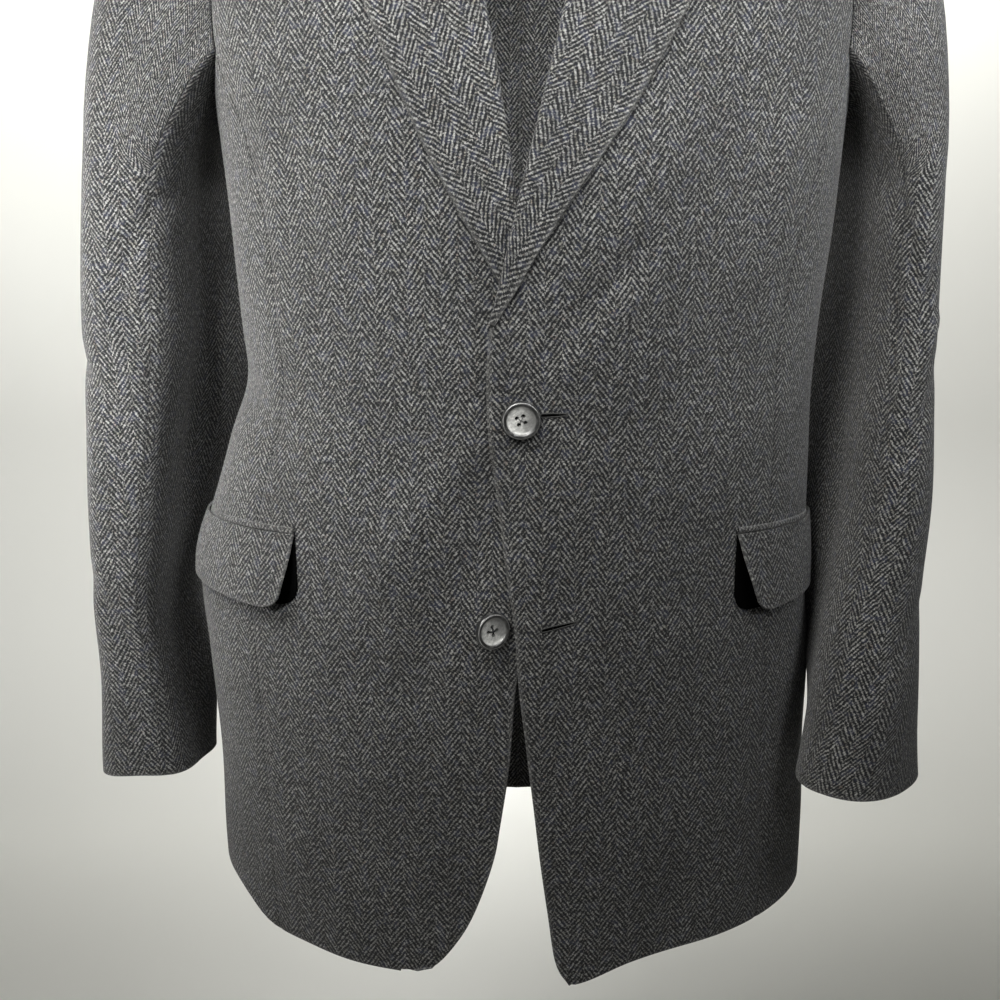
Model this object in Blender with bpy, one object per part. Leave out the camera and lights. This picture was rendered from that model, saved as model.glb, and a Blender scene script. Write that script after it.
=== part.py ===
"""Tweed hacking jacket, filled out as it is worn, with nobody inside it.

Metres, +Z up, +X towards the wearer's left, -Y to the front.
The origin is the middle of the neck at the height of the shoulder seams,
where the wearer's neck and shoulders hold the jacket up.

Every panel is a wall whose outer face lies on one closed garment form. A point
of that form is named by an angle round the body (0 at the centre front, 90 at
the wearer's left side, -90 at the right, 180 at the centre back) and a level
(0 at the hem, TOP on the shoulder ridge) that runs through the rows of FORM.
"""
import math
from collections import namedtuple
from functools import lru_cache

import bmesh
import bpy
from mathutils import Matrix, Vector

# ------------------------------------------------------------ driving sizes

CLOTH = 0.0020              # wall of tweed with its interlining
SEAM_GAP = 0.0003           # clear joint between sewn pieces
SLEEVE_GAP = 0.0005         # the same round the armhole and along a sleeve's own seams
FOOT_GAP = 0.0005           # the same under the leg of a lapel or the collar
LAP_LIFT = 0.0036           # how far the left front stands off over the right
NECK_HALF = 0.085           # half-width of the neck, where the shoulders start
NECK_SOFTNESS = 0.020
SHOULDER_SLOPE = 0.30
LAPEL_GAP = 0.0009          # air between a lapel and the front it lies on
COLLAR_GAP = 0.0014         # the same under the collar
FOLD_STEPS = 6              # flats round a fold of cloth

BUTTON_RADIUS = 0.01125
BUTTON_THICKNESS = 0.0044
BUTTON_SEAT = 0.0008         # thread between a button and the cloth
BUTTON_UPPER = (-0.0037, -0.4287)       # x, z in front view
BUTTON_LOWER = (-0.0185, -0.5548)
BUTTON_LOWER_TURN = math.radians(32.0)
HOLE_UPPER = (0.0120, -0.4248)          # middle of each buttonhole
HOLE_LOWER = (0.0180, -0.5515)
HOLE_LENGTH = 0.024
HOLE_WIDTH = 0.0011
HOLE_EYE = 0.0019

POCKET_TOP = -0.5035
FLAP_HEIGHT = {1: 0.050, -1: 0.0445}
JET_HEIGHT = 0.0042
FLAP_INNER_X = {1: 0.130, -1: 0.140}
FLAP_BACK_ANGLE = 97.0
FLAP_CORNER = 0.013
FLAP_SLANT = {1: 0.0085, -1: 0.0045}    # how far its front edge leans back
FLAP_WALL = 0.0024
POCKET_SEAT = 0.0011         # air between a pocket's pieces and the panels
FLAP_OPENING = {1: 0.006, -1: 0.011}    # how far a flap's front corner stands away

ARMHOLE_CENTRE_Z = -0.155   # the sleeve's turning angles are taken round here
EVENING = 0.20              # draws the sleeve's lengthwise lines to its front and back

# ------------------------------------------------------------ tables

Section = namedtuple(
    "Section", "z left right front back square slope front_seam back_seam")
# Half-widths, depths before and behind the shoulder ridge, the exponent of the
# rounded outline, the share of the shoulder slope, and the angles where the
# front panel and the back panel end: at the side seams up to ARM_LEVEL, round
# the armhole above it.
FORM = [
    Section(-0.800, 0.2020, 0.2125, 0.118, 0.126, 2.10, 0.00, 50, 128),
    Section(-0.730, 0.2050, 0.2150, 0.121, 0.128, 2.10, 0.00, 50, 128),
    Section(-0.665, 0.2000, 0.2160, 0.124, 0.129, 2.10, 0.00, 50, 128),
    Section(-0.600, 0.2000, 0.2195, 0.127, 0.127, 2.10, 0.00, 50, 127),
    Section(-0.545, 0.1950, 0.2202, 0.129, 0.122, 2.15, 0.00, 50, 126),
    Section(-0.500, 0.1930, 0.2115, 0.130, 0.114, 2.20, 0.00, 50, 125),
    Section(-0.455, 0.1935, 0.1975, 0.130, 0.107, 2.20, 0.00, 50, 124),
    Section(-0.415, 0.1936, 0.1840, 0.131, 0.105, 2.20, 0.00, 50, 124),
    Section(-0.370, 0.1950, 0.1860, 0.134, 0.108, 2.25, 0.00, 50, 125),
    Section(-0.320, 0.1995, 0.1880, 0.137, 0.115, 2.30, 0.00, 51, 126),
    Section(-0.265, 0.2045, 0.1930, 0.138, 0.123, 2.35, 0.00, 55, 125),
    Section(-0.215, 0.2098, 0.2005, 0.135, 0.128, 2.40, 0.08, 61, 120),
    Section(-0.165, 0.2140, 0.2060, 0.126, 0.129, 2.45, 0.25, 58, 122),
    Section(-0.120, 0.2190, 0.2140, 0.112, 0.124, 2.50, 0.45, 57, 123),
    Section(-0.080, 0.2260, 0.2230, 0.094, 0.110, 2.60, 0.65, 58, 122),
    Section(-0.045, 0.2325, 0.2310, 0.073, 0.087, 2.70, 0.85, 60, 120),
    Section(-0.018, 0.2380, 0.2375, 0.045, 0.055, 2.80, 0.97, 63, 117),
    Section(-0.004, 0.2417, 0.2415, 0.022, 0.026, 2.90, 1.00, 65, 115),
    Section(0.000, 0.2435, 0.2435, 0.00035, 0.00035, 2.90, 1.00, 66, 114),
]
TOP = len(FORM) - 1
ARM_LEVEL = 11              # the row where the side seams meet the armhole
SCOOP = 0.80                # levels by which the armhole dips under the arm

HemPoint = namedtuple("HemPoint", "angle rise")
HEM = [                     # how far the hem is above the lowest row, by angle
    HemPoint(-180, 0.022), HemPoint(-130, 0.033), HemPoint(-90, 0.042),
    HemPoint(-72, 0.038), HemPoint(-62, 0.030), HemPoint(-52, 0.0165),
    HemPoint(-40, 0.011), HemPoint(-22, 0.0060),
    HemPoint(0, 0.0045), HemPoint(9, 0.0030), HemPoint(20, 0.0150),
    HemPoint(34, 0.0210), HemPoint(60, 0.0260), HemPoint(90, 0.0260),
    HemPoint(130, 0.0240), HemPoint(180, 0.022),
]
HEM_LEVELS = 3.0            # the hem's rise fades out over this many levels

EdgePoint = namedtuple("EdgePoint", "z x")
LEFT_EDGE = [               # hem corner, front edge, break, roll seam, gorge
    EdgePoint(-0.7970, 0.0340), EdgePoint(-0.7940, 0.0272), EdgePoint(-0.7800, 0.0202),
    EdgePoint(-0.7470, 0.0154), EdgePoint(-0.7080, 0.0100), EdgePoint(-0.6673, 0.0053),
    EdgePoint(-0.6284, 0.0008), EdgePoint(-0.5918, -0.0036), EdgePoint(-0.5544, -0.0062),
    EdgePoint(-0.5211, -0.0112), EdgePoint(-0.4733, -0.0168), EdgePoint(-0.4257, -0.0218),
    EdgePoint(-0.3833, -0.0209), EdgePoint(-0.3678, -0.0172), EdgePoint(-0.3455, -0.0117),
    EdgePoint(-0.3250, -0.0067), EdgePoint(-0.2944, 0.0007), EdgePoint(-0.2627, 0.0085),
    EdgePoint(-0.2288, 0.0168), EdgePoint(-0.1750, 0.0293), EdgePoint(-0.1350, 0.0403),
    EdgePoint(-0.1000, 0.0513), EdgePoint(-0.0700, 0.0618),
]
RIGHT_EDGE = [
    EdgePoint(-0.7926, -0.0800), EdgePoint(-0.7905, -0.0660), EdgePoint(-0.7844, -0.0538),
    EdgePoint(-0.7620, -0.0380), EdgePoint(-0.7384, -0.0277), EdgePoint(-0.7100, -0.0190),
    EdgePoint(-0.6860, -0.0150), EdgePoint(-0.6458, -0.0095), EdgePoint(-0.5995, -0.0059),
    EdgePoint(-0.5550, 0.0005), EdgePoint(-0.5000, 0.0085), EdgePoint(-0.4287, 0.0155),
    EdgePoint(-0.3850, 0.0140), EdgePoint(-0.3650, 0.0102), EdgePoint(-0.3455, 0.0037),
    EdgePoint(-0.3250, -0.0038), EdgePoint(-0.3078, -0.0083), EdgePoint(-0.2829, -0.0120),
    EdgePoint(-0.2451, -0.0178), EdgePoint(-0.2168, -0.0231), EdgePoint(-0.1750, -0.0313),
    EdgePoint(-0.1350, -0.0413), EdgePoint(-0.1000, -0.0518), EdgePoint(-0.0700, -0.0618),
]

NeckPoint = namedtuple("NeckPoint", "x y")
NECKLINE = [                # the neck seam in plan, gorge to centre back
    NeckPoint(0.0618, -0.0885), NeckPoint(0.0685, -0.0660), NeckPoint(0.0738, -0.0360),
    NeckPoint(0.0755, 0.0000), NeckPoint(0.0690, 0.0290), NeckPoint(0.0450, 0.0490),
    NeckPoint(0.0000, 0.0570),
]
SHOULDER_POINT = 3          # the row of NECKLINE on the shoulder seam

LapelRow = namedtuple("LapelRow", "roll_z tip_z tip_x wall")
LEFT_LAPEL = [
    LapelRow(-0.3740, -0.3745, -0.0175, 0.0010), LapelRow(-0.3600, -0.3650, -0.0118, 0.0014),
    LapelRow(-0.3455, -0.3540, -0.0050, 0.0018), LapelRow(-0.3250, -0.3360, 0.0055, 0.0020),
    LapelRow(-0.2944, -0.3080, 0.0235, 0.0020), LapelRow(-0.2627, -0.2790, 0.0430, 0.0020),
    LapelRow(-0.2288, -0.2470, 0.0640, 0.0020), LapelRow(-0.1750, -0.1950, 0.0920, 0.0020),
    LapelRow(-0.1350, -0.1560, 0.1130, 0.0020), LapelRow(-0.1000, -0.1240, 0.1310, 0.0020),
    LapelRow(-0.0700, -0.1000, 0.1440, 0.0020),
]
RIGHT_LAPEL = [
    LapelRow(-0.3800, -0.3860, 0.0060, 0.0010), LapelRow(-0.3650, -0.3740, -0.0030, 0.0016),
    LapelRow(-0.3455, -0.3570, -0.0130, 0.0020), LapelRow(-0.3250, -0.3400, -0.0225, 0.0020),
    LapelRow(-0.2944, -0.3110, -0.0390, 0.0020), LapelRow(-0.2627, -0.2810, -0.0550, 0.0020),
    LapelRow(-0.2288, -0.2470, -0.0705, 0.0020), LapelRow(-0.1750, -0.1950, -0.0920, 0.0020),
    LapelRow(-0.1350, -0.1560, -0.1130, 0.0020), LapelRow(-0.1000, -0.1240, -0.1310, 0.0020),
    LapelRow(-0.0700, -0.1000, -0.1440, 0.0020),
]
NOTCH = 0.60                # the gorge seam's share of the lapel's top edge

CollarRow = namedtuple("CollarRow", "seam stand lean edge_x edge_y")
# seam counts rows of NECKLINE; stand is the height of the standing leg, lean
# its angle above the cloth, and the edge of the fall is given in plan.
COLLAR = [
    CollarRow(0.0, 0.0015, 0, 0.1300, -0.0680),
    CollarRow(1.0, 0.0100, 22, 0.1270, -0.0480),
    CollarRow(2.0, 0.0200, 40, 0.1200, -0.0240),
    CollarRow(3.0, 0.0270, 52, 0.1110, 0.0080),
    CollarRow(4.0, 0.0310, 56, 0.0920, 0.0430),
    CollarRow(5.0, 0.0330, 58, 0.0560, 0.0660),
    CollarRow(6.0, 0.0340, 58, 0.0000, 0.0720),
]

SleeveRow = namedtuple("SleeveRow", "z x y half_width half_depth turn slant tuck")
# turn swings the front of a section towards the body; slant lifts its front;
# tuck is how far the inner side reaches in behind the body.
LEFT_SLEEVE = [
    SleeveRow(-0.290, 0.2390, 0.000, 0.0235, 0.082, 0, 0.000, 0.006),
    SleeveRow(-0.360, 0.2412, -0.003, 0.0245, 0.078, 0, 0.000, 0.012),
    SleeveRow(-0.430, 0.2398, -0.012, 0.0255, 0.073, 0, 0.000, 0.015),
    SleeveRow(-0.500, 0.2372, -0.026, 0.0285, 0.066, 4, 0.001, 0.008),
    SleeveRow(-0.560, 0.2332, -0.040, 0.0312, 0.060, 10, 0.003, 0.002),
    SleeveRow(-0.616, 0.2290, -0.059, 0.0350, 0.055, 22, 0.002, 0.003),
    SleeveRow(-0.673, 0.2235, -0.073, 0.0370, 0.051, 40, 0.003, 0.000),
]
RIGHT_SLEEVE = [
    SleeveRow(-0.290, -0.2453, 0.002, 0.0344, 0.078, 0, 0.000, 0.000),
    SleeveRow(-0.360, -0.2495, 0.000, 0.0355, 0.074, 0, 0.000, 0.020),
    SleeveRow(-0.430, -0.2535, -0.004, 0.0325, 0.070, 0, 0.000, 0.029),
    SleeveRow(-0.500, -0.2582, -0.010, 0.0270, 0.066, 0, 0.001, 0.013),
    SleeveRow(-0.560, -0.2612, -0.016, 0.0238, 0.062, 0, 0.003, 0.008),
    SleeveRow(-0.620, -0.2586, -0.020, 0.0280, 0.055, 0, 0.005, 0.009),
    SleeveRow(-0.682, -0.2561, -0.024, 0.0325, 0.049, 0, 0.008, 0.003),
]
SLEEVES = {1: LEFT_SLEEVE, -1: RIGHT_SLEEVE}
SLEEVE_SQUARE = {1: 2.3, -1: 3.4}   # 2 is an ellipse; more has a flatter front

Fold = namedtuple("Fold", "x0 z0 x1 z1 width height")
FOLDS = [                   # ridges (+) and troughs (-) of the fronts
    Fold(-0.030, -0.445, -0.085, -0.530, 0.022, 0.0040),
    Fold(-0.020, -0.500, -0.070, -0.600, 0.024, -0.0045),
    Fold(0.022, -0.400, 0.055, -0.365, 0.014, 0.0030),
    Fold(0.012, -0.392, 0.060, -0.335, 0.014, -0.0030),
    Fold(0.045, -0.520, 0.060, -0.640, 0.026, -0.0035),
    Fold(-0.150, -0.450, -0.200, -0.400, 0.022, -0.0030),
]

# ------------------------------------------------------------ interpolation


def spline(values, at):
    """Catmull-Rom value at a fractional index of a list."""
    last = len(values) - 1
    at = min(max(at, 0.0), float(last))
    i = min(int(at), last - 1)
    t = at - i
    here, after = values[i], values[i + 1]
    before = values[i - 1] if i > 0 else 2 * here - after
    beyond = values[i + 2] if i + 2 <= last else 2 * after - here
    return 0.5 * (2 * here + (after - before) * t
                  + (2 * before - 5 * here + 4 * after - beyond) * t * t
                  + (3 * here - before - 3 * after + beyond) * t * t * t)


def columns(rows):
    """The columns of a table of named rows, as lists."""
    return {name: [getattr(row, name) for row in rows] for name in rows[0]._fields}


def find(rising, target, low, high):
    """Where a rising function reaches a target, by halving."""
    for _ in range(36):
        middle = (low + high) / 2
        if rising(middle) < target:
            low = middle
        else:
            high = middle
    return (low + high) / 2


def smooth(t):
    t = min(max(t, 0.0), 1.0)
    return t * t * (3 - 2 * t)


def lerp(a, b, t):
    return a + (b - a) * t


FORM_COLUMNS = columns(FORM)
HEM_COLUMNS = columns(HEM)
NECK_COLUMNS = columns(NECKLINE)

# ------------------------------------------------------------ garment form


def form_value(name, level):
    return spline(FORM_COLUMNS[name], level)


def shoulder_drop(x, level):
    past_neck = abs(x) - NECK_HALF
    run = (past_neck + math.hypot(past_neck, NECK_SOFTNESS)) / 2
    return form_value("slope", level) * SHOULDER_SLOPE * run


def form_point(angle, level):
    """A point of the smooth form; the angle is in radians."""
    power = form_value("square", level)
    across, along = math.sin(angle), math.cos(angle)
    reach = (abs(across) ** power + abs(along) ** power) ** (-1 / power)
    half_width = form_value("left" if angle >= 0 else "right", level)
    depth = form_value("front" if along > 0 else "back", level)
    x = half_width * across * reach
    return Vector((x, -depth * along * reach, form_value("z", level) - shoulder_drop(x, level)))


def form_normal(angle, level):
    """The form's outward normal, level with the ridge on the ridge itself."""
    step_angle, step_level = 0.004, 0.02
    round_body = form_point(angle + step_angle, level) - form_point(angle - step_angle, level)
    low, high = max(level - step_level, 0.0), min(level + step_level, float(TOP))
    up_body = form_point(angle, high) - form_point(angle, low)
    normal = round_body.cross(up_body).normalized()
    if level > TOP - 0.001:
        normal = Vector((normal.x, 0.0, normal.z)).normalized()
    return normal


def fold_height(point):
    """Height of the worked-in folds at a point of the fronts."""
    if point.y > -0.02:
        return 0.0
    total = 0.0
    for fold in FOLDS:
        run_x, run_z = fold.x1 - fold.x0, fold.z1 - fold.z0
        length = math.hypot(run_x, run_z)
        along = ((point.x - fold.x0) * run_x + (point.z - fold.z0) * run_z) / length
        aside = ((point.x - fold.x0) * run_z - (point.z - fold.z0) * run_x) / length
        past_end = max(-along, along - length, 0.0)
        distance = math.hypot(aside, past_end) / fold.width
        total += fold.height * math.exp(-2.5 * distance * distance)
    return total


def cloth_point(angle, level, out=0.0):
    """A point of the draped cloth, moved out along the form's normal."""
    base = form_point(angle, level)
    return base + form_normal(angle, level) * (out + fold_height(base))


def angle_of(x, level):
    """The angle, on the front, of a point at this x."""
    half_width = form_value("left" if x >= 0 else "right", level)
    power = form_value("square", level)
    share = min(abs(x) / half_width, 0.99999)
    angle = math.atan2(share, (1 - share ** power) ** (1 / power))
    return math.copysign(angle, x)


def front_at(x, z):
    """Angle and level of the front surface at a place in front view."""
    level = find(lambda at: form_value("z", at) - shoulder_drop(x, at), z, 0.0, float(TOP))
    return angle_of(x, level), level


def plan_at(x, y):
    """Angle and level of the surface above a place in plan."""
    name = "front" if y < 0 else "back"

    def closing(level):
        power = form_value("square", level)
        half_width = form_value("left" if x >= 0 else "right", level)
        share = min(abs(x) / half_width, 0.99999)
        return -form_value(name, level) * (1 - share ** power) ** (1 / power)

    level = find(closing, -abs(y), ARM_LEVEL, float(TOP))
    angle = angle_of(x, level)
    return (angle if y < 0 else math.copysign(math.pi, x or 1.0) - angle), level


def lap_lift(point):
    """How far the left front stands out to lie over the right one."""
    over_lapel = smooth((point.z + 0.455) / 0.07) * smooth((-0.235 - point.z) / 0.07)
    stack = LAP_LIFT + 0.0058 * over_lapel
    fade_in_height = smooth((-0.200 - point.z) / 0.08)
    return stack * fade_in_height * smooth((0.115 - point.x) / 0.08)


def front_cloth(side, angle, level, out=0.0):
    """A point on the left (1) or the right (-1) front's outer face, moved out."""
    lift = lap_lift(form_point(angle, level)) if side > 0 else 0.0
    return cloth_point(angle, level, out + lift)


# ------------------------------------------------------------ walls

def material(name, colour, roughness):
    """One plain Principled material for each node, by name."""
    made = bpy.data.materials.new(name)
    made.use_nodes = True
    shader = made.node_tree.nodes["Principled BSDF"]
    shader.inputs["Base Color"].default_value = (*colour, 1.0)
    shader.inputs["Roughness"].default_value = roughness
    shader.inputs["Metallic"].default_value = 0.0
    return made


TWEED = ((0.130, 0.130, 0.122), 0.95)
HORN = ((0.340, 0.335, 0.310), 0.35)


def add_object(name, mesh_data, finish, smooth_angle=40.0):
    """Link a bmesh as a named object and shade it smooth."""
    bmesh.ops.recalc_face_normals(mesh_data, faces=mesh_data.faces)
    mesh = bpy.data.meshes.new(name)
    mesh_data.to_mesh(mesh)
    mesh_data.free()
    mesh.shade_smooth()
    mesh.set_sharp_from_angle(angle=math.radians(smooth_angle))
    mesh.materials.append(material(name, *finish))
    made = bpy.data.objects.new(name, mesh)
    bpy.context.collection.objects.link(made)
    return made


def add_wall(name, outer, inner, finish=TWEED):
    """A closed wall between two grids of points of the same size."""
    mesh_data = bmesh.new()
    rows, cols = len(outer), len(outer[0])
    faces_out = [[mesh_data.verts.new(point) for point in row] for row in outer]
    faces_in = [[mesh_data.verts.new(point) for point in row] for row in inner]
    for i in range(rows - 1):
        for j in range(cols - 1):
            for grid in (faces_out, faces_in):
                quad = (grid[i][j], grid[i][j + 1], grid[i + 1][j + 1], grid[i + 1][j])
                mesh_data.faces.new(quad)
    rim = [(0, j) for j in range(cols)]
    rim += [(i, cols - 1) for i in range(1, rows)]
    rim += [(rows - 1, j) for j in range(cols - 2, -1, -1)]
    rim += [(i, 0) for i in range(rows - 2, 0, -1)]
    for (i, j), (k, m) in zip(rim, rim[1:] + rim[:1]):
        quad = (faces_out[i][j], faces_out[k][m], faces_in[k][m], faces_in[i][j])
        mesh_data.faces.new(quad)
    return add_object(name, mesh_data, finish)


def grid_normals(points, outward):
    """Normals of a grid of points, turned to the side that outward names."""
    rows, cols = len(points), len(points[0])
    normals = []
    for i in range(rows):
        line = []
        for j in range(cols):
            down = points[min(i + 1, rows - 1)][j] - points[max(i - 1, 0)][j]
            across = points[i][min(j + 1, cols - 1)] - points[i][max(j - 1, 0)]
            line.append(down.cross(across).normalized() * outward)
        normals.append(line)
    return normals


# ------------------------------------------------------------ body panels


def neck_place(row):
    """Angle and level of the neck seam at a fractional row of NECKLINE, on the left."""
    return plan_at(spline(NECK_COLUMNS["x"], row), spline(NECK_COLUMNS["y"], row))


GORGE_LEVEL = neck_place(0.0)[1]
LOWER_LEVELS = [0, 0.14, 0.35, 0.7, 1.2, 1.8, 2.4, 3.0, 3.6, 4.2, 4.8, 5.4, 6.0, 6.6,
                7.3, 8.0, 8.7, 9.4, 10.2, 11]
UPPER_LEVELS = [11.6, 12.2, 12.8, 13.5, GORGE_LEVEL, 14.9, 15.5, 16.1, 16.7, 17.2, 17.6, 18]
LEVELS = LOWER_LEVELS + UPPER_LEVELS
FRONT_COLUMNS = [0, 0.05, 0.12, 0.21, 0.31, 0.42, 0.54, 0.66, 0.78, 0.89, 1]
SIDE_COLUMNS = [0, 0.125, 0.25, 0.375, 0.5, 0.625, 0.75, 0.875, 1]
BACK_SHOULDER_SHARE = 0.27  # where the neckline ends on the back's top edge
NECK_SHARES = [0, 0.09, 0.18, BACK_SHOULDER_SHARE]
BACK_COLUMNS = NECK_SHARES + [0.40, 0.53, 0.66, 0.78, 0.89, 1]


def hem_level(angle):
    """The level of the hem, by angle."""
    degrees = math.degrees(angle)
    at = find(lambda index: spline(HEM_COLUMNS["angle"], index), degrees, 0.0, len(HEM) - 1.0)
    return spline(HEM_COLUMNS["rise"], at) / (FORM[1].z - FORM[0].z)


def above_hem(angle, level):
    """A level counted from the hem, fading to the plain one higher up."""
    hem = hem_level(angle)
    if level >= HEM_LEVELS:
        return level
    return hem + level * (HEM_LEVELS - hem) / HEM_LEVELS


def nudged(angle, level, gap):
    """The angle moved round the body by a distance."""
    speed = (form_point(angle + 0.004, level) - form_point(angle - 0.004, level)).length / 0.008
    return angle + gap / speed


def edge_x(table, z):
    names = columns(table)
    at = find(lambda index: spline(names["z"], index), z, 0.0, len(table) - 1.0)
    return spline(names["x"], at)


def front_boundary(side, level):
    """The front edge, the roll line and the neck seam, as an angle at this level."""
    table = LEFT_EDGE if side > 0 else RIGHT_EDGE
    corner = table[0]
    if level >= GORGE_LEVEL:
        row = find(lambda at: neck_place(at)[1], level, 0.0, float(SHOULDER_POINT))
        return side * neck_place(row)[0]
    z = max(form_value("z", level), corner.z)
    return angle_of(edge_x(table, z), level)


def front_place(side, share, level):
    """Angle and level of a point of a front panel; share 0 is its front edge."""
    corner = (LEFT_EDGE if side > 0 else RIGHT_EDGE)[0]
    corner_angle = angle_of(corner.x, 0.0)
    start_level = above_hem(corner_angle, level)
    start = front_boundary(side, start_level)
    end = side * math.radians(form_value("front_seam", level))
    if level <= ARM_LEVEL:
        end = nudged(end, level, -side * SEAM_GAP / 2)
    angle = lerp(start, end, share)
    return angle, start_level if share == 0 else above_hem(angle, level)


def body_wall(name, places, side=0):
    """A wall from rows of (angle, level) places; side is 1 or -1 on a front."""
    outer, inner = [], []
    for row in places:
        points = [front_cloth(side, *place) if side else cloth_point(*place) for place in row]
        outer.append(points)
        inner.append([p - form_normal(*place) * CLOTH for p, place in zip(points, row)])
    return add_wall(name, outer, inner)


def add_front(side):
    name = "front_left" if side > 0 else "front_right"
    places = [[front_place(side, share, level) for share in FRONT_COLUMNS] for level in LEVELS]
    return body_wall(name, places, side)


def side_place(side, share, level):
    """A point of a side panel; its top dips to make the bottom of the armhole."""
    start = nudged(math.radians(form_value("front_seam", level)), level, SEAM_GAP / 2)
    end = nudged(math.radians(form_value("back_seam", level)), level, -SEAM_GAP / 2)
    angle = side * lerp(start, end, share)
    dip = SCOOP * math.sin(math.pi * share) ** 0.8 * smooth((level - 7.0) / 4.0)
    return angle, above_hem(angle, level) - dip


def add_side(side):
    name = "side_left" if side > 0 else "side_right"
    places = [[side_place(side, share, level) for share in SIDE_COLUMNS]
              for level in LOWER_LEVELS]
    return body_wall(name, places)


def back_top(share):
    """Angle and level of a back panel's top edge: half the neck, then the shoulder."""
    if share < BACK_SHOULDER_SHARE:
        return neck_place(lerp(len(NECKLINE) - 1.0, SHOULDER_POINT, share / BACK_SHOULDER_SHARE))
    along = (share - BACK_SHOULDER_SHARE) / (1 - BACK_SHOULDER_SHARE)
    seam_end = math.radians(form_value("back_seam", TOP))
    return lerp(neck_place(SHOULDER_POINT)[0], seam_end, along), float(TOP)


def back_place(side, share, level):
    """A point of a back panel; share 0 is the centre back seam."""
    end = math.radians(form_value("back_seam", level))
    if level <= ARM_LEVEL:
        end = nudged(end, level, SEAM_GAP / 2)
    start = nudged(math.pi, level, -SEAM_GAP / 2)
    top_angle, top_level = back_top(share)
    near_top = smooth((level - 12.0) / (TOP - 12.0))
    swing = top_angle - lerp(math.pi, math.radians(form_value("back_seam", TOP)), share)
    angle = min(lerp(start, end, share) + swing * near_top, start)
    settled = level - (TOP - top_level) * near_top
    return side * angle, above_hem(side * angle, settled)


def add_back(side):
    name = "back_left" if side > 0 else "back_right"
    places = [[back_place(side, share, level) for share in BACK_COLUMNS] for level in LEVELS]
    return body_wall(name, places)


# ------------------------------------------------------------ lapels and collar


@lru_cache(maxsize=None)
def front_rim(side):
    """The middle of a front's free edge at each of LEVELS, hem first."""
    rim = []
    for level in LEVELS:
        place = front_place(side, 0, level)
        rim.append(front_cloth(side, *place, -CLOTH / 2))
    return rim


@lru_cache(maxsize=None)
def neck_rim(side):
    """The same round the neck, from the gorge to the centre back."""
    rim = list(front_rim(side)[LEVELS.index(GORGE_LEVEL):])
    for share in reversed(NECK_SHARES):
        rim.append(cloth_point(*back_place(side, share, TOP), -CLOTH / 2))
    return rim


def nearest_on(line, target):
    """The point of a polyline nearest to a target."""
    best = line[0]
    for start, end in zip(line, line[1:]):
        run = end - start
        share = min(max((target - start).dot(run) / max(run.dot(run), 1e-12), 0.0), 1.0)
        point = start + run * share
        if (point - target).length < (best - target).length:
            best = point
    return best


def with_middles(rows, widest):
    """Row numbers with one more between each pair that is further apart."""
    full = [rows[0]]
    for before, after in zip(rows, rows[1:]):
        if after - before > widest:
            full.append((before + after) / 2)
        full.append(after)
    return full


FALL_SHARES = [0.10, 0.22, 0.35, 0.48, NOTCH, 0.73, 0.87, 1.0]
WIDEST_LAPEL_STEP = 0.35    # rows of a lapel's table between two sections
WIDEST_COLLAR_STEP = 0.60
FALL_FADE = 1.15


def turned_section(front_side, rim, places, gap, stand=0.0, lean=0.0, wall=CLOTH):
    """Visible-face points of a turned piece: standing leg, fold of cloth, fall.

    places runs from the seam to the outer edge as (angle, level); rim is the
    edge it is sewn to. The leg stands at the lean, in degrees above the cloth,
    and the fold turns half a circle.
    """
    def face(place, out):
        if front_side:
            return front_cloth(front_side, *place, out)
        return cloth_point(*place, out)

    normal = form_normal(*places[0])
    seam = nearest_on(rim, face(places[0], -CLOTH / 2))
    outward = face(places[FALL_SHARES.index(NOTCH) + 1], 0.0) - seam
    outward = (outward - normal * outward.dot(normal)).normalized()
    turn_start = math.radians(lean) - math.pi / 2
    radius = (CLOTH / 2 + gap + 1.5 * wall) / 2 + 0.0012 * smooth(stand / 0.02)

    def spoke(around):
        return normal * math.sin(around) - outward * math.cos(around)

    clear = FOOT_GAP + math.sin(math.radians(lean)) * wall / 2
    foot = seam - outward * clear + spoke(turn_start) * (wall / 2)
    centre = foot + spoke(turn_start + math.pi / 2) * stand - spoke(turn_start) * radius
    points = [foot] if stand > 0 else []
    points += [centre + spoke(turn_start + math.pi * step / FOLD_STEPS) * radius
               for step in range(FOLD_STEPS + 1)]
    over = points[-1] - face(places[0], gap + wall)
    for share, place in zip(FALL_SHARES, places[1:]):
        points.append(face(place, gap + wall) + over * (1 - share) ** FALL_FADE)
    return points


def add_turned(name, sections, outward, walls):
    normals = grid_normals(sections, outward)
    inner = [[point - normal * wall for point, normal in zip(line, turned)]
             for line, turned, wall in zip(sections, normals, walls)]
    return add_wall(name, sections, inner)


def front_view_line(start, end):
    """Places along a straight line in front view, one for each share of the fall."""
    return [front_at(lerp(start[0], end[0], share), lerp(start[1], end[1], share))
            for share in [0.0] + FALL_SHARES]


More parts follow.
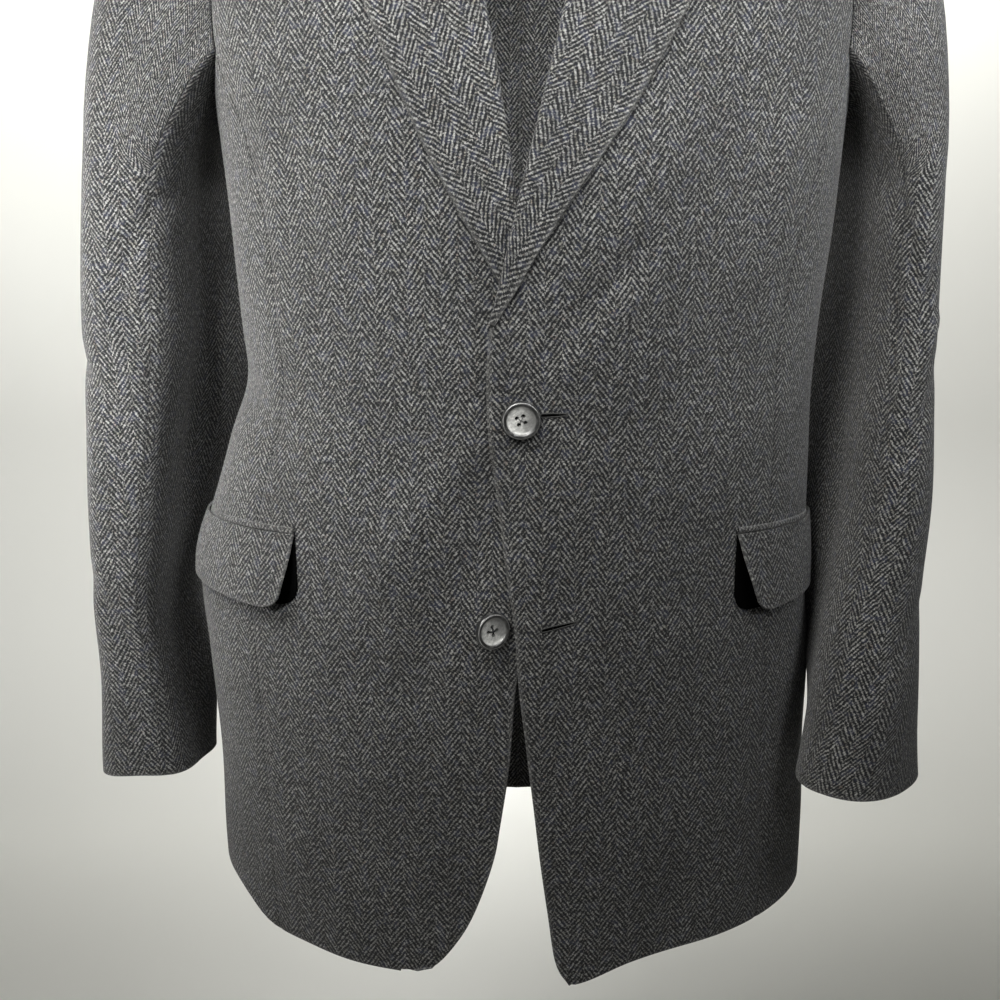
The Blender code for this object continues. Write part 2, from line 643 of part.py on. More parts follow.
def add_lapel(side):
    """Its sections stand at the points of the front's edge, and half-way between."""
    name = "lapel_left" if side > 0 else "lapel_right"
    table = LEFT_LAPEL if side > 0 else RIGHT_LAPEL
    edge = LEFT_EDGE if side > 0 else RIGHT_EDGE
    names = columns(table)
    rim = front_rim(side)
    last = len(table) - 1.0
    seam_heights = [point.z for point in rim if table[0].roll_z < point.z < table[-1].roll_z]
    rows = [find(lambda at: spline(names["roll_z"], at), z, 0.0, last) for z in seam_heights]
    sections, walls = [], []
    for row in with_middles([0.0] + rows + [last], WIDEST_LAPEL_STEP):
        roll_z = spline(names["roll_z"], row)
        roll = (edge_x(edge, roll_z), roll_z)
        tip = (spline(names["tip_x"], row), spline(names["tip_z"], row))
        walls.append(spline(names["wall"], row))
        places = front_view_line(roll, tip)
        sections.append(turned_section(side, rim, places, LAPEL_GAP, wall=walls[-1]))
    return add_turned(name, sections, side, walls)


def straight(start, end, share):
    return Vector((lerp(start[0], end[0], share), lerp(start[1], end[1], share)))


def collar_seam_and_edge(side, row):
    """The collar's neck seam and outer edge, in plan, at a fractional row."""
    names = columns(COLLAR)
    seam_row = spline(names["seam"], row)
    seam = (side * spline(NECK_COLUMNS["x"], seam_row), spline(NECK_COLUMNS["y"], seam_row))
    return seam, (side * spline(names["edge_x"], row), spline(names["edge_y"], row))


def gorge_shift(side):
    """How far, in plan, the collar's front end bows from a straight section.

    It runs along the lapel's top line to the notch, then back to its own tip.
    """
    last = (LEFT_LAPEL if side > 0 else RIGHT_LAPEL)[-1]
    seam, edge = collar_seam_and_edge(side, 0.0)
    start = (seam[0], last.roll_z + SEAM_GAP)
    tip = (last.tip_x, last.tip_z + SEAM_GAP)
    notch = cloth_point(*front_at(*straight(start, tip, NOTCH)))
    shifts = []
    for share in [0.0] + FALL_SHARES:
        if share <= NOTCH:
            on_gorge = cloth_point(*front_at(*straight(start, tip, share)))
        else:
            on_gorge = straight(notch, edge, (share - NOTCH) / (1 - NOTCH))
        shifts.append(on_gorge.xy - straight(seam, edge, share))
    return shifts


def collar_section(side, row):
    names = columns(COLLAR)
    seam, edge = collar_seam_and_edge(side, row)
    bow = max(1 - row, 0.0) ** 2
    places = []
    for share, shift in zip([0.0] + FALL_SHARES, gorge_shift(side)):
        places.append(plan_at(*(straight(seam, edge, share) + shift * bow)))
    return turned_section(0, neck_rim(side), places, COLLAR_GAP,
                          spline(names["stand"], row), spline(names["lean"], row))


def add_collar():
    shoulder = float(SHOULDER_POINT)
    rows = [find(lambda at: neck_place(at)[1], level, 0.0, shoulder)
            for level in LEVELS[LEVELS.index(GORGE_LEVEL):-1]]
    rows += [lerp(len(COLLAR) - 1.0, shoulder, share / BACK_SHOULDER_SHARE)
             for share in reversed(NECK_SHARES)]
    rows = with_middles([0.0] + rows[1:], WIDEST_COLLAR_STEP)
    left = [collar_section(1, row) for row in rows]
    right = [collar_section(-1, row) for row in rows[:-1]]
    sections = left + right[::-1]
    return add_turned("collar", sections, -1, [CLOTH] * len(sections))


# ------------------------------------------------------------ sleeves

CAP_STEPS = [0.0, 0.10, 0.22, 0.36, 0.52, 0.68, 0.84]
SLEEVE_STEPS = [1 + step * 0.6 for step in range(11)]


def armhole_place(side, station):
    """Angle and level of the armhole at a fractional station.

    Stations 0 to 1 run from the shoulder tip down the front panel, 1 to 2
    along the side panel's dipped top, 2 to 3 up the back panel.
    """
    if station <= 1:
        level = lerp(TOP, ARM_LEVEL, station)
        return side * math.radians(form_value("front_seam", level)), level
    if station < 2:
        return side_place(side, station - 1, ARM_LEVEL)
    level = lerp(ARM_LEVEL, TOP, station - 2)
    return side * math.radians(form_value("back_seam", level)), level


def armhole_frame(side, station):
    """The armhole's point, its outward normal and the way off the panel's edge."""
    place = armhole_place(side, station)
    step = 0.02
    before = cloth_point(*armhole_place(side, (station - step) % 3.0))
    after = cloth_point(*armhole_place(side, (station + step) % 3.0))
    normal = form_normal(*place)
    off_edge = normal.cross(after - before).normalized() * side
    return cloth_point(*place), normal, off_edge


def sleeve_oval(side, row, around):
    """A point of the sleeve's own sections; around is 0 outside and 90 in front."""
    names = columns(SLEEVES[side])
    power = SLEEVE_SQUARE[side]
    around += EVENING * math.sin(2 * around)
    across, along = math.cos(around), math.sin(around)
    reach = (abs(across) ** power + abs(along) ** power) ** (-1 / power)
    x = spline(names["half_width"], row) * across * reach
    y = -spline(names["half_depth"], row) * along * reach
    turn = math.radians(spline(names["turn"], row))
    turned_x = x * math.cos(turn) + y * math.sin(turn)
    turned_y = y * math.cos(turn) - x * math.sin(turn)
    behind = smooth((0.3 - along * reach) / 0.9)
    inside = smooth((0.6 - across * reach) / 1.2)
    turned_x -= spline(names["tuck"], row) * behind * inside
    return Vector((spline(names["x"], row) + side * turned_x,
                   spline(names["y"], row) + turned_y,
                   spline(names["z"], row) + spline(names["slant"], row) * along))


def sleeve_point(side, station, row):
    """A point of a sleeve's outer face; rows 0 to 1 are the cap, then its table."""
    edge, normal, off_edge = armhole_frame(side, station)
    around = math.atan2(-edge.y, edge.z - ARMHOLE_CENTRE_Z)
    if row >= 1:
        return sleeve_oval(side, row - 1, around)
    under = (1 - math.cos(around)) / 2
    bend = math.pi / 2 * smooth((under - 0.35) / 0.55)
    leaving = off_edge * math.cos(bend) + normal * math.sin(bend)
    start = edge + off_edge * SLEEVE_GAP
    end = sleeve_oval(side, 0, around)
    out_length = lerp(0.026, 0.007, smooth(under * 1.3))
    rise_length = lerp(0.120, 0.016, smooth(under * 1.1))
    lean_in = Vector((-side * 0.05, 0.0, 1.0))
    near = start + leaving * out_length
    far = end + lean_in * rise_length
    return (start * (1 - row) ** 3 + near * 3 * row * (1 - row) ** 2
            + far * 3 * row * row * (1 - row) + end * row ** 3)


def sleeve_inner(side, station, row):
    """The inner face, a cloth's thickness inside the outer one."""
    point = sleeve_point(side, station, row)
    if row == 0:
        edge, normal, off_edge = armhole_frame(side, station)
        around = math.atan2(-edge.y, edge.z - ARMHOLE_CENTRE_Z)
        bend = math.pi / 2 * smooth(((1 - math.cos(around)) / 2 - 0.35) / 0.55)
        return point - (normal * math.cos(bend) - off_edge * math.sin(bend)) * CLOTH
    step = 0.02
    last = len(SLEEVES[side]) * 1.0
    along = (sleeve_point(side, station, min(row + step, last))
             - sleeve_point(side, station, row - step))
    round_arm = (sleeve_point(side, (station + step) % 3.0, row)
                 - sleeve_point(side, (station - step) % 3.0, row))
    return point + along.cross(round_arm).normalized() * side * -CLOTH


def armhole_stations():
    """Stations that fall on the panels' own edge points, shoulder tip first."""
    down = [(TOP - level) / (TOP - ARM_LEVEL) for level in reversed([ARM_LEVEL] + UPPER_LEVELS)]
    under = [1 + share for share in SIDE_COLUMNS[1:-1]]
    up = [2 + (level - ARM_LEVEL) / (TOP - ARM_LEVEL) for level in [ARM_LEVEL] + UPPER_LEVELS]
    return down, under, up


def seam_offset(side, station, row, way):
    """Half a seam gap along the ring, away from a seam; way is 1 or -1."""
    step = 0.03
    ring = (sleeve_point(side, (station + step) % 3.0, row)
            - sleeve_point(side, (station - step) % 3.0, row))
    return ring.normalized() * SLEEVE_GAP / 2 * way


def add_sleeve_piece(name, side, stations):
    """A wall over a run of stations, its two long edges half a seam gap short."""
    outer, inner = [], []
    for row in CAP_STEPS + SLEEVE_STEPS:
        line_out = [sleeve_point(side, station % 3.0, row) for station in stations]
        line_in = [sleeve_inner(side, station % 3.0, row) for station in stations]
        for end, way in ((0, 1), (-1, -1)):
            offset = seam_offset(side, stations[end], row, way)
            line_out[end] = line_out[end] + offset
            line_in[end] = line_in[end] + offset
        outer.append(line_out)
        inner.append(line_in)
    return add_wall(name, outer, inner)


def add_sleeves(side):
    word = "left" if side > 0 else "right"
    down, under, up = armhole_stations()
    top_run = up[:-1] + [station + 3.0 for station in down]
    under_run = [1.0] + under + [2.0]
    add_sleeve_piece("top_sleeve_" + word, side, top_run)
    add_sleeve_piece("under_sleeve_" + word, side, under_run)


# ------------------------------------------------------------ pockets

FLAP_COLUMNS = [0, 0.035, 0.08, 0.18, 0.32, 0.48, 0.64, 0.80, 0.92, 0.965, 1]
FLAP_ROWS = [0, 0.25, 0.5, 0.75, 1]


def pocket_point(side, share, z, out, slant=0.0):
    """A point over the panels along a pocket, its front end at share 0, and its normal."""
    level = find(lambda at: form_value("z", at), z, 0.0, float(ARM_LEVEL))
    start = abs(angle_of(side * (FLAP_INNER_X[side] + slant), level))
    place = side * lerp(start, math.radians(FLAP_BACK_ANGLE), share), level
    return front_cloth(side, *place, out), form_normal(*place)


def flap_length(side):
    ends = [pocket_point(side, share / 10, POCKET_TOP, 0.0)[0] for share in range(11)]
    return sum((b - a).length for a, b in zip(ends, ends[1:]))


def add_flap(side):
    name = "pocket_flap_left" if side > 0 else "pocket_flap_right"
    length = flap_length(side)
    top = POCKET_TOP - JET_HEIGHT / 2 - SEAM_GAP
    outer, inner = [], []
    for down in FLAP_ROWS:
        line_out, line_in = [], []
        for share in FLAP_COLUMNS:
            from_end = min(share, 1 - share) * length
            inside = min(from_end / FLAP_CORNER, 1.0)
            cut = FLAP_CORNER * (1 - math.sqrt(1 - (1 - inside) ** 2))
            z = top - (FLAP_HEIGHT[side] - cut) * down
            opened = FLAP_OPENING[side] * (1 - share) ** 3 * down ** 1.5
            stand = POCKET_SEAT + 0.0020 * down + opened
            point, normal = pocket_point(side, share, z, stand, FLAP_SLANT[side] * down)
            line_in.append(point)
            line_out.append(point + normal * FLAP_WALL)
        outer.append(line_out)
        inner.append(line_in)
    return add_wall(name, outer, inner)


def add_jet(side):
    name = "pocket_jet_left" if side > 0 else "pocket_jet_right"
    outer, inner = [], []
    for z, out in ((POCKET_TOP + JET_HEIGHT / 2, 0.0011), (POCKET_TOP, 0.0021),
                   (POCKET_TOP - JET_HEIGHT / 2, 0.0016)):
        line = [pocket_point(side, share, z, POCKET_SEAT) for share in FLAP_COLUMNS]
        inner.append([point for point, normal in line])
        outer.append([point + normal * out for point, normal in line])
    return add_wall(name, outer, inner)


# ------------------------------------------------------------ buttons and holes

BUTTON_SIDES = 20
BUTTON_HOLE_RADIUS = 0.0010
BUTTON_HOLE_OFFSET = 0.0030     # from the button's middle
ButtonRing = namedtuple("ButtonRing", "radius height")
BUTTON_RINGS = [            # shares of the radius and of the thickness, back to front
    ButtonRing(0.80, 0.00), ButtonRing(0.97, 0.30), ButtonRing(1.00, 0.55),
    ButtonRing(0.96, 0.90), ButtonRing(0.86, 1.00), ButtonRing(0.74, 0.90),
    ButtonRing(0.62, 0.62),
]


def front_frame(side, x, z, out):
    """A matrix on a front's outer face: X to the wearer's left, Z out of it."""
    step = 0.006
    centre = front_cloth(side, *front_at(x, z), out)
    right = front_cloth(side, *front_at(x + step, z)) - front_cloth(side, *front_at(x - step, z))
    up = front_cloth(side, *front_at(x, z + step)) - front_cloth(side, *front_at(x, z - step))
    axis_x = right.normalized()
    axis_z = axis_x.cross(up).normalized()
    axis_y = axis_z.cross(axis_x)
    rotation = Matrix((axis_x, axis_y, axis_z)).transposed().to_4x4()
    return Matrix.Translation(centre) @ rotation


def add_button(name, frame):
    mesh_data = bmesh.new()
    rings = []
    for ring in BUTTON_RINGS:
        radius = ring.radius * BUTTON_RADIUS
        height = ring.height * BUTTON_THICKNESS
        rings.append([mesh_data.verts.new((
            radius * math.cos(math.tau * i / BUTTON_SIDES),
            radius * math.sin(math.tau * i / BUTTON_SIDES), height))
            for i in range(BUTTON_SIDES)])
    for low, high in zip(rings, rings[1:]):
        for i in range(BUTTON_SIDES):
            j = (i + 1) % BUTTON_SIDES
            mesh_data.faces.new((low[i], low[j], high[j], high[i]))
    mesh_data.faces.new(list(reversed(rings[0])))
    mesh_data.faces.new(rings[-1])
    button = add_object(name, mesh_data, HORN)
    button.matrix_world = frame
    for corner in range(4):
        around = math.pi / 4 + corner * math.pi / 2
        offset = Vector((math.cos(around), math.sin(around), 0.0)) * BUTTON_HOLE_OFFSET
        drill = round_cutter(name + "_drill_%d" % corner, BUTTON_HOLE_RADIUS, 0.02, 10)
        drill.matrix_world = frame @ Matrix.Translation(offset)
        cut(button, drill)
    return button


def round_cutter(name, radius, depth, sides):
    mesh_data = bmesh.new()
    bmesh.ops.create_cone(mesh_data, cap_ends=True, segments=sides,
                          radius1=radius, radius2=radius, depth=depth)
    return hidden(add_object(name, mesh_data, HORN))


def slot_cutter(name, length, width, eye, depth):
    """A keyhole slot: a narrow box with a round eye at its outer end."""
    mesh_data = bmesh.new()
    outline = [(length / 2, width / 2), (length / 2, -width / 2)]
    start = -length / 2
    opening = math.asin(width / 2 / eye)
    for step in range(9):
        around = lerp(-opening, opening - math.tau, step / 8)
        outline.append((start + eye * math.cos(around), eye * math.sin(around)))
    low = [mesh_data.verts.new((x, y, -depth / 2)) for x, y in outline]
    high = [mesh_data.verts.new((x, y, depth / 2)) for x, y in outline]
    mesh_data.faces.new(low)
    mesh_data.faces.new(high)
    count = len(outline)
    for i in range(count):
        j = (i + 1) % count
        mesh_data.faces.new((low[i], low[j], high[j], high[i]))
    return hidden(add_object(name, mesh_data, HORN))


def hidden(cutter):
    cutter.hide_render = True
    cutter.display_type = "WIRE"
    return cutter


def cut(target, cutter):
    modifier = target.modifiers.new("cut_" + cutter.name, "BOOLEAN")
    modifier.operation = "DIFFERENCE"
    modifier.object = cutter
    modifier.solver = "EXACT"


def add_buttonholes(front):
    for name, place in (("hole_upper", HOLE_UPPER), ("hole_lower", HOLE_LOWER)):
        slot = slot_cutter(name, HOLE_LENGTH, HOLE_WIDTH, HOLE_EYE, 0.014)
        slot.matrix_world = front_frame(1, *place, 0.0)
        cut(front, slot)


def add_buttons():
    add_button("button_upper", front_frame(1, *BUTTON_UPPER, BUTTON_SEAT))
    back_edge = BUTTON_RADIUS * BUTTON_RINGS[0].radius
    rise = BUTTON_SEAT + back_edge * math.sin(BUTTON_LOWER_TURN)
    lowered = front_frame(-1, *BUTTON_LOWER, rise)
    add_button("button_lower", lowered @ Matrix.Rotation(BUTTON_LOWER_TURN, 4, "Y"))


# ------------------------------------------------------------ the jacket


def clear_scene():
    for old in list(bpy.data.objects):
        bpy.data.objects.remove(old, do_unlink=True)


def build():
    clear_scene()
    for side in (1, -1):
        front = add_front(side)
        if side > 0:
            add_buttonholes(front)
        add_side(side)
        add_back(side)
        add_lapel(side)
        add_sleeves(side)
        add_jet(side)
        add_flap(side)
    add_collar()
    add_buttons()


build()
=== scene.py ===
"""Looks of the tweed hacking jacket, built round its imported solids.

Metres, +Z up, +X towards the wearer's left, -Y to the front, the origin at the
middle of the neck. Tables and creases are written in millimetres and kept in
metres; every other length is in metres. Side 1 is the wearer's left and side -1
the wearer's right. A place on the form is an angle round the body from the front
and a level, which is a fractional row of FORM counted from the hem.
"""
import math
from collections import namedtuple

import bpy
import numpy as np
from mathutils import Matrix, Vector


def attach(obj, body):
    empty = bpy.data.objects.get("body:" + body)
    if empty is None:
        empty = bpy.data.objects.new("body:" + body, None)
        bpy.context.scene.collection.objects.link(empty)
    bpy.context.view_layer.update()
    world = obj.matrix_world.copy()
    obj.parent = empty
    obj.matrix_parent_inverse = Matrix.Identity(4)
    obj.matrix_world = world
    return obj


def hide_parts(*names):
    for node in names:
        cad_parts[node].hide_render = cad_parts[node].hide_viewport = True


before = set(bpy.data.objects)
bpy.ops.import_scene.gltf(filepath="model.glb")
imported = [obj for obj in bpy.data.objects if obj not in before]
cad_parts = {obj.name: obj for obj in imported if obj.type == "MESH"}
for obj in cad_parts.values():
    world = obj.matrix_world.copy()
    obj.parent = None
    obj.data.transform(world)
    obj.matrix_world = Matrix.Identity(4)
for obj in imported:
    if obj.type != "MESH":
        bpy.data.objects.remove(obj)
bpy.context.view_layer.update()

# ------------------------------------------------------------ sizes

WORDS = {1: "left", -1: "right"}
CLOTH = 0.0020
LAP_LIFT = 0.0036           # of the left front over the right one
LAPEL_STACK = 0.0058        # more of it, over the right lapel
NECK_HALF = 0.085
NECK_SOFTNESS = 0.020
SHOULDER_SLOPE = 0.30
LAPEL_GAP = 0.0009
COLLAR_GAP = 0.0014
BUTTON_RADIUS = 0.01125
BUTTON_THICKNESS = 0.0044
BUTTON_SEAT = 0.0008
BUTTON_UPPER = (-0.0032, -0.4276)
BUTTON_LOWER = (-0.0203, -0.5538)
BUTTON_LOWER_TURN = math.radians(32.0)
POCKET_TOP = -0.5005
FLAP_HEIGHT = {1: 0.050, -1: 0.0455}
JET_HEIGHT = 0.0042
FLAP_INNER_X = {1: 0.130, -1: 0.140}
FLAP_BACK_ANGLE = 97.0
FLAP_CORNER = 0.013
FLAP_SLANT = {1: 0.0085, -1: 0.0045}
FLAP_RISE = 0.0040          # of the lower edge towards the side
FLAP_WALL = 0.0016
FLAP_OPENING = {1: 0.009, -1: 0.011}
# corner of the painted shade sheet under each flap
SHADE_SHEET_CORNER = 0.011
POCKET_SEAT = 0.0011
ARMHOLE_CENTRE_Z = -0.155
EVENING = 0.20
ARM_LEVEL = 11
SCOOP = 0.80
HEM_LEVELS = 3.0
NECK_END = 6.0              # row of NECKLINE and of COLLAR at the centre back
SHOULDER_POINT = 3
BACK_SHOULDER_SHARE = 0.27
NOTCH = 0.60
FALL_FADE = 1.15
SLEEVE_SQUARE = {1: 2.3, -1: 3.4}
SLEEVE_DEGREE = 0.0011      # metres round the arm for one degree
AWAY_FROM_BODY = {1: 0.03, -1: 0.05}            # lean of the cap's curve as it enters the arm
CAP_START = (0.026, 0.007)  # handles of that curve, at the shoulder and under the arm
CAP_END = (0.120, 0.016)
CAP_SMOOTH = 0.25           # share of the cap that has no folds yet
FOLD_BULGE = 0.0012         # more radius where a turned piece has a stand
FOLD_STAND = 0.02
SEAM_CLEAR = 0.0004
FLAP_BELLY = 0.0012
FLAP_GAP = 0.0003           # between the jet and the flap
FLAP_SPRING = 0.0006        # how much further off the cloth its lower edge lies
JET_CROWN = 0.0013
JET_WALL = 0.0009


def table(lengths, others, rows):
    """Columns by name: the lengths come in millimetres, the others as they are."""
    values = np.array(rows, float)
    names = lengths.split()
    values[:, :len(names)] /= 1000
    return dict(zip(names + others.split(), values.T))


FORM = table("z left right front back", "square slope front_seam back_seam", [
    (-800, 202, 212.5, 118, 126, 2.1, 0, 50, 128), (-730, 205, 215, 121, 128, 2.1, 0, 50, 128),
    (-665, 200, 216, 124, 129, 2.1, 0, 50, 128), (-600, 200, 219.5, 127, 127, 2.1, 0, 50, 127),
    (-545, 195, 220.2, 129, 122, 2.15, 0, 50, 126), (-500, 193, 211.5, 130, 114, 2.2, 0, 50, 125),
    (-455, 193.5, 197.5, 130, 107, 2.2, 0, 50, 124),
    (-415, 193.6, 184, 131, 105, 2.2, 0, 50, 124), (-370, 195, 186, 134, 108, 2.25, 0, 50, 125),
    (-320, 199.5, 188, 137, 115, 2.3, 0, 51, 126), (-265, 204.5, 193, 138, 123, 2.35, 0, 55, 125),
    (-215, 209.8, 200.5, 135, 128, 2.4, 0.08, 61, 120),
    (-165, 214, 206, 126, 129, 2.45, 0.25, 58, 122),
    (-120, 219, 214, 112, 124, 2.5, 0.45, 57, 123), (-80, 226, 223, 94, 110, 2.6, 0.65, 58, 122),
    (-45, 232.5, 231, 73, 87, 2.7, 0.85, 60, 120), (-18, 238, 237.5, 45, 55, 2.8, 0.97, 63, 117),
    (-4, 241.7, 241.5, 22, 26, 2.9, 1, 65, 115), (0, 243.5, 243.5, 0.35, 0.35, 2.9, 1, 66, 114),
])
TOP = len(FORM["z"]) - 1
HEM = table("rise", "angle", [
    (22, -180), (33, -130), (42, -90), (38, -72), (30, -62), (16.5, -52), (11, -40), (6, -22),
    (4.5, 0), (3, 9), (15, 20), (21, 34), (26, 60), (26, 90), (24, 130), (22, 180),
])
EDGES = {
    1: table("z x", "", [
        (-797, 34), (-794, 27.2), (-780, 20.2), (-747, 15.4), (-708, 10), (-667.3, 5.3),
        (-628.4, 0.8), (-591.8, -3.6), (-554.4, -6.2), (-521.1, -11.2), (-473.3, -16.8),
        (-425.7, -21.8), (-383.3, -20.9), (-367.8, -17.2), (-345.5, -11.7), (-325, -6.7),
        (-294.4, 0.7), (-262.7, 8.5), (-228.8, 16.8), (-175, 29.3), (-135, 40.3), (-100, 51.3),
        (-70, 61.8),
    ]),
    -1: table("z x", "", [
        (-792.6, -80), (-790.5, -66), (-784.4, -53.8), (-762, -38), (-738.4, -27.7), (-710, -19),
        (-686, -15), (-645.8, -9.5), (-599.5, -5.9), (-555, 0.5), (-500, 8.5), (-428.7, 15.5),
        (-385, 14), (-365, 10.2), (-345.5, 3.7), (-325, -3.8), (-307.8, -8.3), (-282.9, -12),
        (-245.1, -17.8), (-216.8, -23.1), (-175, -31.3), (-135, -41.3), (-100, -51.8),
        (-70, -61.8),
    ]),
}
NECKLINE = table("x y", "", [
    (61.8, -88.5), (68.5, -66), (73.8, -36), (75.5, 0), (69, 29), (45, 49), (0, 57),
])
LAPELS = {
    1: table("roll_z tip_z tip_x wall", "", [
        (-374, -374.5, -17.5, 1), (-360, -365, -11.8, 1.4), (-345.5, -354, -5, 1.8),
        (-325, -336, 5.5, 2), (-294.4, -308, 23.5, 2), (-262.7, -279, 43, 2),
        (-228.8, -247, 64, 2), (-175, -195, 92, 2), (-135, -156, 113, 2), (-100, -124, 131, 2),
        (-70, -100, 144, 2),
    ]),
    -1: table("roll_z tip_z tip_x wall", "", [
        (-380, -386, 6, 1), (-365, -374, -3, 1.6), (-345.5, -357, -13, 2), (-325, -340, -22.5, 2),
        (-294.4, -311, -39, 2), (-262.7, -281, -55, 2), (-228.8, -247, -70.5, 2),
        (-175, -195, -92, 2), (-135, -156, -113, 2), (-100, -124, -131, 2), (-70, -100, -144, 2),
    ]),
}
COLLAR = table("stand edge_x edge_y", "seam lean", [
    (1.5, 130, -68, 0, 0), (10, 127, -48, 1, 22), (20, 120, -24, 2, 40), (27, 111, 8, 3, 52),
    (31, 92, 43, 4, 56), (33, 56, 66, 5, 58), (34, 0, 72, 6, 58),
])
SLEEVES = {
    1: table("z x y half_width half_depth slant tuck", "turn", [
        (-290, 239, 0, 23.5, 82, 0, 6, 0), (-360, 241.2, -3, 24.5, 78, 0, 12, 0),
        (-430, 239.8, -12, 25.5, 73, 0, 18, 0), (-500, 237.2, -26, 28.5, 66, 1, 18, 4),
        (-560, 233.2, -40, 31.2, 60, 3, 14, 10), (-616, 227.5, -59, 33.5, 55, 2, 8, 22),
        (-673, 221.8, -73, 35.3, 51, 3, 0, 40),
    ]),
    -1: table("z x y half_width half_depth slant tuck", "turn", [
        (-290, -243.5, 2, 32.6, 78, 0, 12, 0), (-360, -247.8, 0, 33.8, 74, 0, 24, 0),
        (-430, -252.6, -4, 31.6, 70, 0, 29, 0), (-500, -258.2, -10, 27, 66, 1, 13, 0),
        (-560, -260.5, -16, 23.1, 62, 3, 8, 0), (-620, -256.7, -20, 26.1, 55, 5, 9, 0),
        (-682, -254.8, -24, 31.2, 49, 8, 3, 0),
    ]),
}

# ------------------------------------------------------------ creases

Crease = namedtuple("Crease", "x0 z0 x1 z1 bend width height")


def creases(rows):
    """Strokes in front view: bend bows the stroke sideways at its middle."""
    return [Crease(*(value / 1000 for value in row)) for row in rows]


def sleeve_creases(rows):
    """Strokes on a sleeve, by the degrees round the arm: 0 outside, 90 in front."""
    mm = SLEEVE_DEGREE * 1000
    return creases((a * mm, z0, b * mm, z1, 4, width, height)
                   for a, z0, b, z1, width, height in rows)


FRONT_CREASES = creases([
    # the largest folds, as in the solids
    (-30, -445, -85, -530, 0, 22, 2.9), (-20, -500, -70, -600, 0, 24, -3.2),
    (22, -400, 55, -365, 0, 14, 2.2), (12, -392, 60, -335, 0, 14, -2.2),
    (45, -520, 60, -640, 0, 26, -2.5), (-150, -450, -200, -400, 0, 22, -2.2),
    # drag from the fastened button, down towards the wearer's right
    (-18, -438, -82, -520, 6, 10, 1), (-30, -468, -100, -585, 8, 13, -1),
    (-52, -505, -118, -650, 6, 15, 0.9), (-86, -560, -140, -690, -6, 16, -0.8),
    (-40, -600, -60, -740, 4, 16, 0.7), (-12, -432, -105, -412, -6, 10, 0.6),
    (-22, -418, -120, -378, -8, 13, -0.9), (-140, -430, -200, -380, 4, 12, 0.7),
    # drag from the button across the wearer's left
    (10, -436, 78, -470, 4, 9, 0.6), (16, -448, 90, -500, 6, 12, -0.8),
    (22, -372, 74, -318, 6, 10, -1), (4, -392, 52, -352, 4, 8, 0.9),
    (14, -500, 14, -560, 4, 14, 0.7), (30, -530, 24, -610, 4, 12, -0.9),
    (70, -510, 78, -640, 6, 15, -0.9), (100, -640, 106, -760, 4, 16, -0.7),
    (128, -600, 140, -750, -6, 18, 0.9), (112, -440, 150, -400, 4, 13, -0.9),
    # hollows beside the armholes
    (150, -250, 128, -330, 6, 16, -1.2), (166, -240, 150, -320, 6, 10, 0.9),
    (-146, -250, -122, -340, -6, 16, -1.2), (-160, -236, -146, -320, -6, 10, 0.9),
])
BACK_CREASES = creases([
    (150, -200, 120, -360, 8, 18, -3), (165, -210, 140, -340, 6, 12, 2),
    (-152, -190, -116, -350, -8, 18, -2.8), (-168, -220, -142, -330, -6, 11, 2),
    (20, -410, 110, -380, 6, 13, -2.2), (-15, -435, -120, -405, -6, 14, -2.4),
    (30, -445, 120, -430, -4, 12, 1.5), (60, -500, 76, -700, 6, 20, -2.6),
    (-70, -520, -88, -730, -6, 22, -2.8), (-30, -560, -34, -740, 4, 18, 1.8),
    (120, -520, 130, -720, 6, 18, 1.8), (40, -60, 120, -100, 6, 16, -1.4),
    (-45, -62, -120, -110, -6, 16, -1.6),
])
SLEEVE_CREASES = {
    1: sleeve_creases([
        (60, -345, 130, -385, 12, -2.6), (50, -375, 120, -420, 10, 1.8),
        (40, -405, 110, -455, 13, -2.2), (150, -290, 110, -350, 14, -2.4),
        (20, -560, 90, -600, 14, -1.6), (-60, -330, -130, -300, 16, -2.2),
        (-30, -180, 10, -260, 20, -1.6),
    ]),
    -1: sleeve_creases([
        (50, -330, 125, -370, 14, -2.8), (60, -362, 120, -410, 11, 1.8),
        (30, -400, 100, -440, 14, -2.2), (150, -300, 100, -345, 13, -2.2),
        (40, -540, 110, -580, 15, -1.8), (-50, -340, -120, -310, 16, -2.2),
        (-20, -190, 20, -270, 20, -1.6),
    ]),
}
RIPPLES = [                 # soft unevenness: direction, wavelength, height, phase
    (0.9, 0.1, 0.45, 0.115, 0.00065, 0.4), (0.7, -0.5, 0.50, 0.083, 0.00050, 2.1),
    (0.4, 0.8, 0.20, 0.140, 0.00070, 4.0), (-0.8, 0.2, 0.55, 0.061, 0.00035, 1.2),
    (0.2, -0.6, 0.75, 0.095, 0.00040, 5.2),
]

# ------------------------------------------------------------ numbers


def spline(values, at):
    """Catmull-Rom values at fractional indices of a list."""
    last = len(values) - 1
    at = np.clip(np.asarray(at, float), 0.0, last)
    i = np.minimum(at.astype(int), last - 1)
    t = at - i
    v = np.concatenate([[2 * values[0] - values[1]], values, [2 * values[-1] - values[-2]]])
    before, here, after, beyond = v[i], v[i + 1], v[i + 2], v[i + 3]
    return 0.5 * (2 * here + (after - before) * t
                  + (2 * before - 5 * here + 4 * after - beyond) * t ** 2
                  + (3 * here - before - 3 * after + beyond) * t ** 3)


def find(rising, target, low, high):
    """Where a rising function reaches each target, by halving."""
    target = np.asarray(target, float)
    low = np.zeros_like(target) + low
    high = np.zeros_like(target) + high
    for _ in range(30):
        middle = (low + high) / 2
        below = rising(middle) < target
        low = np.where(below, middle, low)
        high = np.where(below, high, middle)
    return (low + high) / 2


def ramp(value, zero_at, one_at):
    """A soft step from 0 to 1 between two values, rising or falling."""
    t = np.clip((value - zero_at) / (one_at - zero_at), 0.0, 1.0)
    return t * t * (3 - 2 * t)


